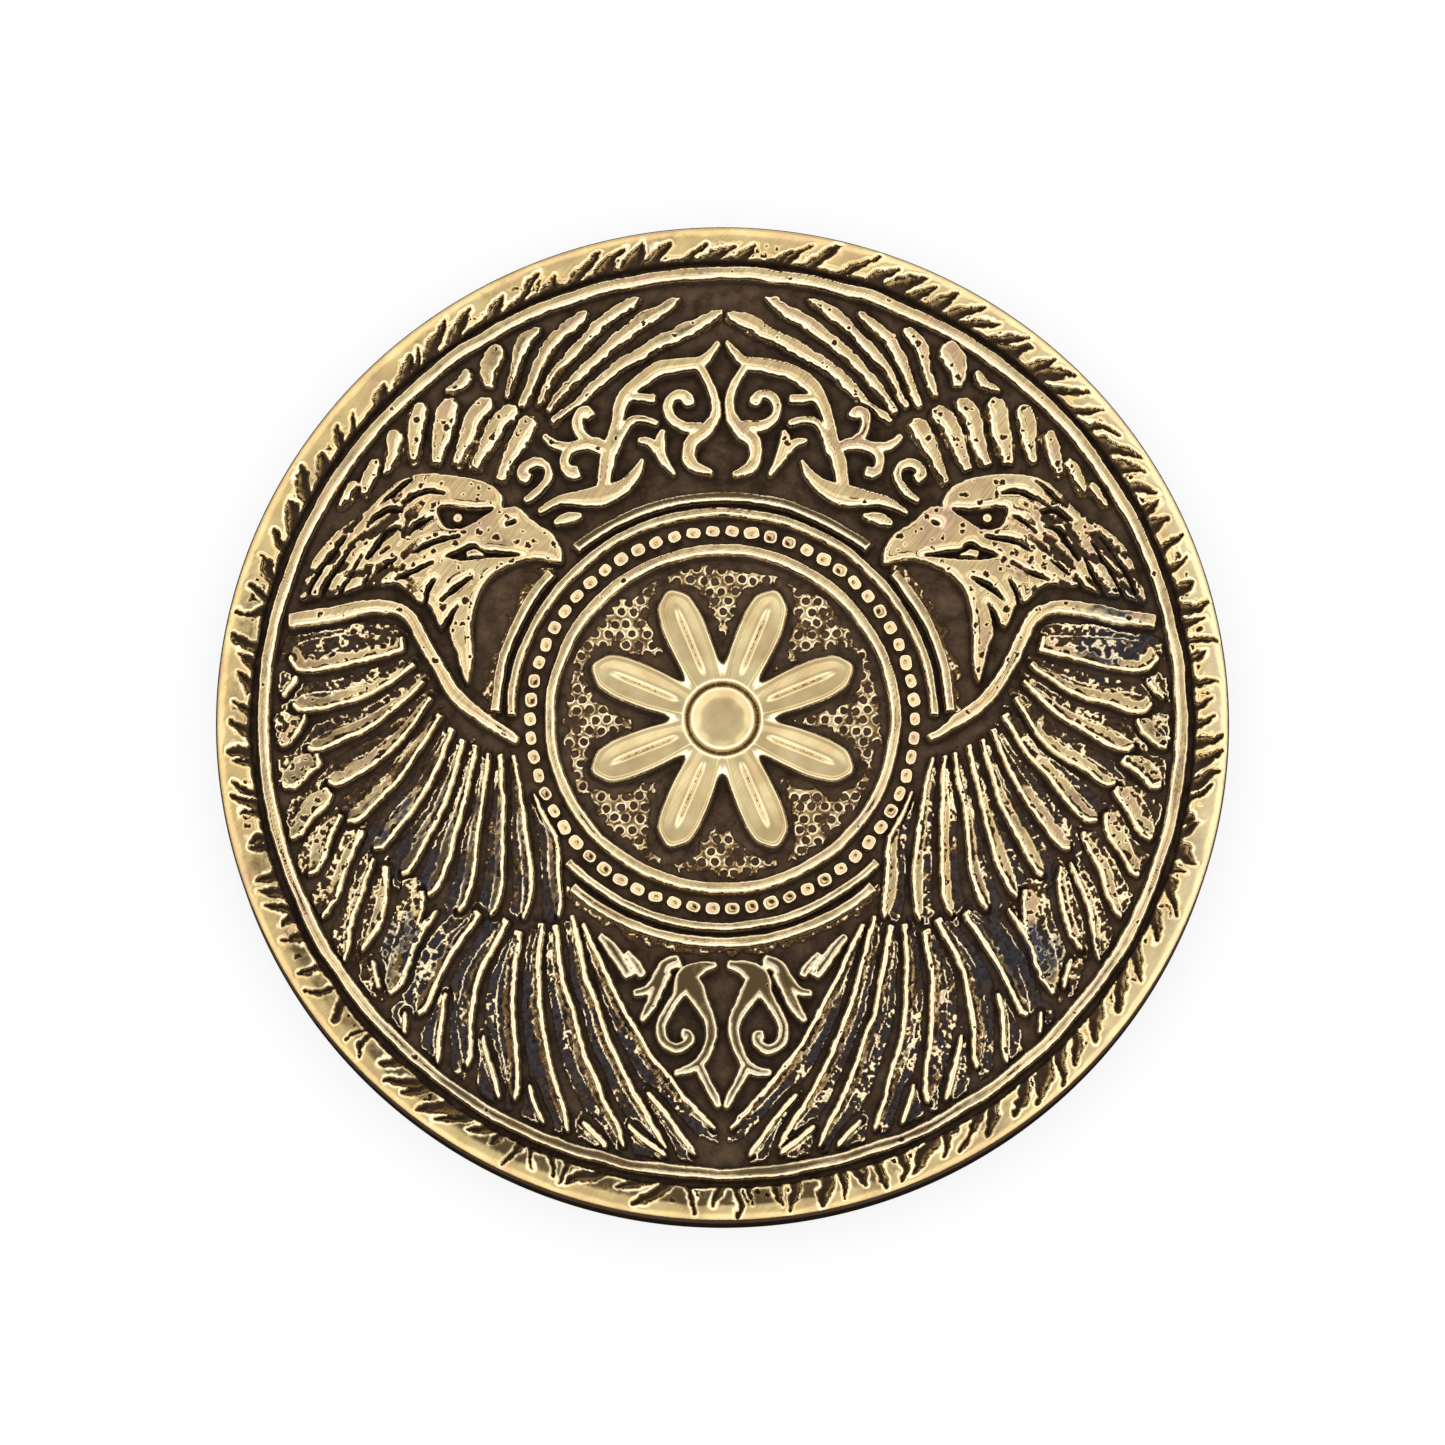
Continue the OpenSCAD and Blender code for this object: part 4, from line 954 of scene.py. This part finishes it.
def blank_piece():
    """The blank: an uneven cast floor, a smooth blackened edge and a plain flat reverse."""
    seed = 800
    field = Field((-FLOOR_R, -FLOOR_R), (FLOOR_R, FLOOR_R), FLOOR_CELL)
    X, Y = field.X, field.Y
    corner = field.distance(np.concatenate(list(OUTLINES.values())), CORNER_REACH)
    # The floor is darker in the pockets between the scrolls too
    scrolls = [OUTLINES[n] for n in OUTLINES if n.endswith("scroll")]
    pocket = field.distance(np.concatenate(scrolls), CORNER_REACH)
    # Near the relief and in those pockets the floor dips a little and is darkened with painted shade
    dip_and_shade = np.maximum(0.85 * hump(corner, 0.12), 0.5 * hump(pocket, 0.4))
    Z = FLOOR_Z + 0.02 * noise(X, Y, 0.9, seed) + 0.012 * noise(X, Y, 0.35, seed + 1) - 0.03 * dip_and_shade
    within = np.hypot(X, Y) < FLOOR_R
    used = cells_with(within[:-1, :-1] & within[:-1, 1:] & within[1:, :-1] & within[1:, 1:])
    quads, kept, ends = grid_cells(used)
    points = np.stack([side.ravel()[kept] for side in (X, Y, Z)], 1)

    # Triangles between the grid's stepped border and the edge
    border = np.unique(ends)
    m = np.arange(EDGE_TURNS)
    n = (m + 1) % EDGE_TURNS
    angle = m * 2 * math.pi / EDGE_TURNS
    ring = np.stack([np.cos(angle), np.sin(angle)], 1)
    flat = np.concatenate([np.stack([X.ravel()[border], Y.ravel()[border]], 1), COIN_R * ring])
    faces = filled(flat, np.concatenate([np.searchsorted(border, ends), len(border) + np.stack([m, n], 1)]))
    spot = flat[faces].mean(1)
    ci = np.clip(((spot[:, 0] - field.x[0]) / field.cell).astype(int), 0, len(field.x) - 2)
    cj = np.clip(((spot[:, 1] - field.y[0]) / field.cell).astype(int), 0, len(field.y) - 2)
    covered = used[cj, ci] & (np.abs(spot) < FLOOR_R).all(1)
    triangles = np.concatenate([np.searchsorted(kept, border), len(kept) + m])[faces[~covered]]

    # Edge and reverse, from the top of the edge down and in to the middle of the reverse
    rows = [(COIN_R, FLOOR_Z), (COIN_R, FLOOR_Z * EDGE_ROW)]
    rows += [(COIN_R - EDGE_ROUND * (1 - math.cos(t)), EDGE_ROUND * (1 - math.sin(t)))
             for t in np.linspace(0, math.pi / 2, ROUND_ROWS)]
    rows += [(r, 0.0) for r in REVERSE_RINGS]
    shells = [np.column_stack([r * ring, np.full(EDGE_TURNS, z)]) for r, z in rows]
    strips = []
    for above in len(kept) + EDGE_TURNS * np.arange(len(rows) - 1):
        below = above + EDGE_TURNS
        strips.append(np.stack([above + m, below + m, below + n, above + n], 1))
    last = len(kept) + EDGE_TURNS * (len(rows) - 1)
    fan = np.stack([last + n, last + m, np.full(EDGE_TURNS, last + EDGE_TURNS)], 1)
    black = [EDGE_BLACK] * (len(rows) - len(REVERSE_RINGS)) + [REVERSE_BLACK] * len(REVERSE_RINGS)
    recess = np.concatenate([dip_and_shade.ravel()[kept], np.repeat(black, EDGE_TURNS), [REVERSE_BLACK]])
    piece = make_piece("coin_blank_casting", np.concatenate([points, *shells, [[0, 0, 0]]]),
                       np.concatenate([quads, *strips]), np.concatenate([triangles, fan]), PATINA,
                       recess=recess)
    stands_for(piece, "patina_blank", "coin_blank")


blank_piece()


def lathe(profile, turns, square=2.0):
    """Points and faces of a closed shape turned from a profile, from its top to its bottom on the axis.

    A square over 2 turns the round outline into a rounded square."""
    angle = (np.arange(turns) + 0.5) * 2 * math.pi / turns
    full = (np.abs(np.cos(angle)) ** square + np.abs(np.sin(angle)) ** square) ** (-1 / square)
    ring = np.stack([full * np.cos(angle), full * np.sin(angle)], 1)
    rows = profile[1:-1]
    points = [np.column_stack([r * ring, np.full(turns, z)]) for r, z in rows]
    points = np.concatenate(points + [[[0, 0, profile[0][1]], [0, 0, profile[-1][1]]]])
    m = np.arange(turns)
    n = (m + 1) % turns
    quads = np.concatenate([k * turns + np.stack([n, m, turns + m, turns + n], 1)
                            for k in range(len(rows) - 1)])
    top, foot, last = len(rows) * turns, len(rows) * turns + 1, (len(rows) - 1) * turns
    triangles = np.concatenate([np.stack([m, n, np.full(turns, top)], 1),
                                np.stack([last + n, last + m, np.full(turns, foot)], 1)])
    return points, quads, triangles


EYE_TURNS = 28
# Points round a bead, half its width, and the power that squares its outline
BEAD_TURNS = 16
BEAD_HALF = 0.34
BEAD_SQUARE = 3.4


def eye_piece(node):
    """A small bright dome, with a painted highlight round its shoulder."""
    low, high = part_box(node)
    middle = (low + high) / 2 / MM
    half, tall = (high.x - low.x) / 2 / MM, (high.z - low.z) / MM
    profile = [(0, 0.97), (0.3, 0.98), (0.55, 0.9), (0.78, 0.72), (0.95, 0.4), (1, 0.0), (1, -0.15),
               (0, -0.15)]
    points, quads, triangles = lathe([(r * half, z * tall) for r, z in profile], EYE_TURNS)
    points = points + np.array([middle.x, middle.y, FLOOR_Z])
    polish = np.concatenate([np.repeat([0.95, 1, 1, 0.6, 0, 0], EYE_TURNS), [0.9, 0]])
    lips = np.concatenate([np.repeat([0.3, 0.6, 1, 0.6, 0, 0], EYE_TURNS), [0.3, 0]])
    piece = make_piece(node + "_casting", points, quads, triangles, RELIEF_BRASS,
                       polish=polish, edge=lips, tarnish=np.zeros(len(points)))
    stands_for(piece, "worn_relief", node)


eye_piece("left_eye")
eye_piece("right_eye")


def node_tree(name, sizes):
    """A geometry node group with an input for each size and one geometry output."""
    tree = bpy.data.node_groups.new(name, "GeometryNodeTree")
    tree.interface.new_socket("Geometry", in_out="OUTPUT", socket_type="NodeSocketGeometry")
    tree.interface.new_socket("Geometry", in_out="INPUT", socket_type="NodeSocketGeometry")
    for label, kind in sizes.items():
        tree.interface.new_socket(label, in_out="INPUT", socket_type="NodeSocket" + kind)
    return tree, tree.nodes.new("NodeGroupInput").outputs


def grown(name, tree, start, values):
    """The plain mesh that a node group makes from a starting mesh and its input values."""
    holder = put(name + "_holder", start)
    modifier = holder.modifiers.new("grow", "NODES")
    modifier.node_group = tree
    for socket in tree.interface.items_tree:
        if socket.in_out == "INPUT" and socket.name in values:
            modifier[socket.identifier] = values[socket.name]
    bpy.context.view_layer.update()
    graph = bpy.context.evaluated_depsgraph_get()
    mesh = bpy.data.meshes.new_from_object(holder.evaluated_get(graph))
    holder.modifiers.remove(modifier)
    bpy.data.objects.remove(holder)
    mesh.name = name
    return put(name, mesh)


def bead_shape(name, tall, dip, dark):
    """A rounded square bead with a bright lip painted as a highlight; dip is that of the dish in its top, and
    dark that of the painted shade on one side of the dish.
    """
    top = 0.95 - dip
    profile = [(0, top), (0.34, top), (0.56, 0.97 - dip / 3), (0.75, 0.99), (0.89, 0.88), (0.98, 0.5), (1, 0),
               (1, -0.2), (0, -0.2)]
    profile = [(r * BEAD_HALF, z * tall) for r, z in profile]
    points, quads, triangles = lathe(profile, BEAD_TURNS, BEAD_SQUARE)
    lips = np.repeat([0, 0.15, 1, 1, 0.5, 0, 0], BEAD_TURNS)
    bead_polish_and_shade = np.repeat([1, 1, 1, 1, 0.7, 0.1, 0], BEAD_TURNS).astype(float)
    angle = np.arange(BEAD_TURNS) * 2 * math.pi / BEAD_TURNS
    # Painted shade on one side of the dish, and at its middle
    bead_polish_and_shade[:BEAD_TURNS] -= dark * smooth(-0.4, 0.6, np.cos(angle - 2.2))
    return make_piece(name, points, quads, triangles, RELIEF_BRASS,
                      polish=np.concatenate([bead_polish_and_shade, [1 - 0.8 * dark, 0]]),
                      edge=np.concatenate([lips, [0, 0]]),
                      tarnish=np.full(len(points), -0.1), wash=np.full(len(points), 0.12))


def bead_row_piece():
    """Uneven beads, worn flat on top, some of them with a deeper dimple and more painted shade in it."""
    centres = island_centres("bead_row")
    low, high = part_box("bead_row")
    tall = (high.z - low.z) / MM
    plain = bead_shape("plain_bead", tall, 0.14, 0.55)
    dimpled = bead_shape("dimpled_bead", tall, 0.3, 0.9)
    start = bpy.data.meshes.new("bead_places")
    start.from_pydata([(c[0] * MM, c[1] * MM, FLOOR_Z * MM) for c in centres], [], [])

    tree, given = node_tree("bead_circle", {
        "Plain bead": "Object", "Dimpled bead": "Object", "Dimpled share": "Float", "Least size": "Vector",
        "Greatest size": "Vector", "Sway": "Float", "Seed": "Int", "Finish": "Material"})
    place = add(tree, "GeometryNodeInputPosition").outputs[0]
    outward = add(tree, "ShaderNodeVectorMath", {"operation": "MULTIPLY"},
                  {0: place, 1: (1, 1, 0)}).outputs[0]
    facing = add(tree, "FunctionNodeAlignRotationToVector", {"axis": "X"}, {"Vector": outward}).outputs[0]
    size = add(tree, "FunctionNodeRandomValue", {"data_type": "FLOAT_VECTOR"},
               {0: given["Least size"], 1: given["Greatest size"], "Seed": given["Seed"]}).outputs[0]
    swing = add(tree, "ShaderNodeMath", {"operation": "MULTIPLY"}, {0: given["Sway"], 1: -1.0}).outputs[0]
    sway = add(tree, "FunctionNodeRandomValue", {"data_type": "FLOAT"},
               {2: swing, 3: given["Sway"], "Seed": given["Seed"]}).outputs[1]
    spin = add(tree, "FunctionNodeAxisAngleToRotation", None, {"Axis": (0, 0, 1), "Angle": sway}).outputs[0]
    turned = add(tree, "FunctionNodeRotateRotation", {"rotation_space": "LOCAL"},
                 {"Rotation": facing, "Rotate By": spin}).outputs[0]
    pick = add(tree, "FunctionNodeRandomValue", {"data_type": "BOOLEAN"},
               {"Probability": given["Dimpled share"], "Seed": given["Seed"]}).outputs[3]
    rest = add(tree, "FunctionNodeBooleanMath", {"operation": "NOT"}, {0: pick}).outputs[0]
    both = add(tree, "GeometryNodeJoinGeometry")
    for label, chosen in (("Plain bead", rest), ("Dimpled bead", pick)):
        shape = add(tree, "GeometryNodeObjectInfo", None, {"Object": given[label]}).outputs["Geometry"]
        beads = add(tree, "GeometryNodeInstanceOnPoints", None,
                    {"Points": given["Geometry"], "Selection": chosen, "Instance": shape,
                     "Rotation": turned, "Scale": size}).outputs[0]
        tree.links.new(beads, both.inputs[0])
    solid = add(tree, "GeometryNodeRealizeInstances", None, {0: both.outputs[0]}).outputs[0]
    done = add(tree, "GeometryNodeSetMaterial", None,
               {"Geometry": solid, "Material": given["Finish"]}).outputs[0]
    add(tree, "NodeGroupOutput", None, {0: done})
    piece = grown("bead_row_casting", tree, start, {
        "Plain bead": plain, "Dimpled bead": dimpled, "Dimpled share": 0.3, "Least size": (0.74, 0.92, 0.85),
        "Greatest size": (0.96, 1.14, 1.0), "Sway": 0.25, "Seed": 3, "Finish": RELIEF_BRASS})
    bpy.data.objects.remove(plain)
    bpy.data.objects.remove(dimpled)
    stands_for(piece, "worn_relief", "bead_row")


bead_row_piece()


# Pitch, stray and radius of the punched pits, and height of the crust between them
STIPPLE_PITCH = 0.56
STIPPLE_STRAY = 0.07
STIPPLE_PIT_R = 0.2
STIPPLE_TALL = 0.2
# How far inside the inner ring's outer side the field lies, and the room left bare at the ring and the petals
FIELD_INSET = 0.45
RING_ROOM = 0.3
PETAL_ROOM = 0.34


def from_pits(x, y, pitch, stray, seed):
    """Distance from the nearest pit, where pits stand in uneven rows."""
    table = np.random.RandomState(seed).uniform(-stray, stray, (2, 64, 64))
    row_gap = pitch * math.sqrt(3) / 2
    j = np.floor(y / row_gap + 0.5).astype(int)
    best = np.full_like(x, REACH)
    for row in (j - 1, j, j + 1):
        shift = (row % 2) * pitch / 2
        i = np.floor((x - shift) / pitch + 0.5).astype(int)
        for k in (i - 1, i, i + 1):
            cx = k * pitch + shift + table[0, row % 64, k % 64]
            cy = row * row_gap + table[1, row % 64, k % 64]
            best = np.minimum(best, np.hypot(x - cx, y - cy))
    return best


def stipple_piece():
    """A torn crust with rows of punched pits over the field round the rosette."""
    seed = 880
    field_r = -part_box("inner_ring")[0].x / MM - FIELD_INSET
    field = Field((-field_r, -field_r), (field_r, field_r), RELIEF_CELL)
    X, Y = field.X, field.Y
    room = np.minimum(field_r - np.hypot(X, Y) - RING_ROOM, -field.depth(OUTLINES["rosette"]) - PETAL_ROOM)
    torn = room + 0.25 * noise(X, Y, 0.45, seed)
    cloud = noise(X, Y, 2.2, seed + 1) + 0.5 * noise(X, Y, 0.6, seed + 2)
    patch = smooth(0, 0.2, torn) * smooth(-0.95, -0.5, cloud)
    pit = from_pits(X, Y, STIPPLE_PITCH, STIPPLE_STRAY, seed + 3)
    strand = smooth(0.12, STIPPLE_PIT_R, pit + 0.035 * noise(X, Y, 0.15, seed + 4))
    rise = patch * strand * (0.75 + 0.3 * noise(X, Y, 0.4, seed + 5))
    height = np.where(patch > 0.02, rise * STIPPLE_TALL - 0.04, -SINK)
    lip = hump(pit - STIPPLE_PIT_R, 0.05)
    polish = rise * (0.6 + 0.3 * lip + 0.28 * noise(X, Y, 0.2, seed + 6))
    # Painted highlight on some of the pit lips
    edge = lip * smooth(-0.6, 0.1, noise(X, Y, 0.35, seed + 7))
    wash = 0.55 - 0.5 * lip + 0.3 * noise(X, Y, 0.5, seed + 8)
    piece = heightfield("centre_stipple", field, height, RELIEF_BRASS,
                        polish=polish, edge=edge, tarnish=np.full_like(X, -0.1), wash=wash)
    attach(piece, "root")


stipple_piece()


# Half width of the paper and how far it lies under the coin, in metres, so that the two faces don't touch
PAPER_HALF = 2.0
PAPER_DROP = 2e-5
# Light from the horizon to straight up: dimmer overhead, so flats look tan, and bright all round, so that
# rounded edges catch the light
SKY = ((0.0, "#a8a8a8"), (0.25, "#dedede"), (0.45, "#ffffff"), (0.86, "#ffffff"), (0.95, "#c8c8c8"),
       (1.0, "#c2c2c2"))
SKY_STRENGTH = 1.5
# Width of the photograph in pixels, its pixels for each mm, the camera's angle over the floor and its aim
PHOTO_PX = 1445
PX_PER_MM = 22.74
CAMERA_UP = math.radians(79)
AIM_Y = -0.07


def make_stage():
    """White paper under the coin, soft light all round and a long lens from above."""
    mesh = bpy.data.meshes.new("floor")
    mesh.from_pydata([(x * PAPER_HALF, y * PAPER_HALF, -PAPER_DROP)
                      for x, y in ((-1, -1), (1, -1), (1, 1), (-1, 1))], [], [(0, 1, 2, 3)])
    floor = put("floor", mesh)
    material = bpy.data.materials.new("white_paper_sweep")
    tree = empty_tree(material)
    paper = add(tree, "ShaderNodeBsdfDiffuse", None, {"Color": linear("#f2f2f2")})
    glow = add(tree, "ShaderNodeEmission", None, {"Color": linear("#ffffff"), "Strength": 1.0})
    path = add(tree, "ShaderNodeLightPath").outputs
    seen = add(tree, "ShaderNodeMath", {"operation": "ADD"},
               {0: path["Is Camera Ray"], 1: path["Is Glossy Ray"]}).outputs[0]
    seen = add(tree, "ShaderNodeMath", {"operation": "ADD", "use_clamp": True},
               {0: seen, 1: path["Is Transmission Ray"]}).outputs[0]
    lit = add(tree, "ShaderNodeMath", {"operation": "MULTIPLY"}, {0: seen, 1: 0.8}).outputs[0]
    both = add(tree, "ShaderNodeMixShader", None, {0: lit, 1: paper.outputs[0], 2: glow.outputs[0]})
    add(tree, "ShaderNodeOutputMaterial", None, {"Surface": both.outputs[0]})
    mesh.materials.append(material)

    world = bpy.data.worlds.new("studio")
    bpy.context.scene.world = world
    tree = empty_tree(world)
    way = add(tree, "ShaderNodeTexCoord").outputs["Generated"]
    up = add(tree, "ShaderNodeSeparateXYZ", None, {0: way}).outputs["Z"]
    ramp = add(tree, "ShaderNodeValToRGB", None, {"Fac": up})
    stops = ramp.color_ramp.elements
    stops.remove(stops[1])
    for k, (position, level) in enumerate(SKY):
        stop = stops[0] if k == 0 else stops.new(position)
        stop.position = position
        stop.color = linear(level)
    sky = add(tree, "ShaderNodeBackground", None,
              {"Color": ramp.outputs["Color"], "Strength": SKY_STRENGTH})
    add(tree, "ShaderNodeOutputWorld", None, {"Surface": sky.outputs[0]})

    cam = bpy.data.cameras.new("camera")
    cam.lens, cam.sensor_width = 200, 36
    camera = put("camera", cam)
    aim = Vector((0, AIM_Y, FLOOR_Z)) * MM
    reach = PHOTO_PX / PX_PER_MM * MM * cam.lens / cam.sensor_width
    back = Vector((0, -math.cos(CAMERA_UP), math.sin(CAMERA_UP)))
    camera.location = aim + back * reach
    camera.rotation_mode = "QUATERNION"
    camera.rotation_quaternion = (-back).to_track_quat("-Z", "Y")
    cam.clip_start, cam.clip_end = 0.01, 10
    bpy.context.scene.camera = camera
    bpy.context.scene.view_settings.view_transform = "Standard"


make_stage()
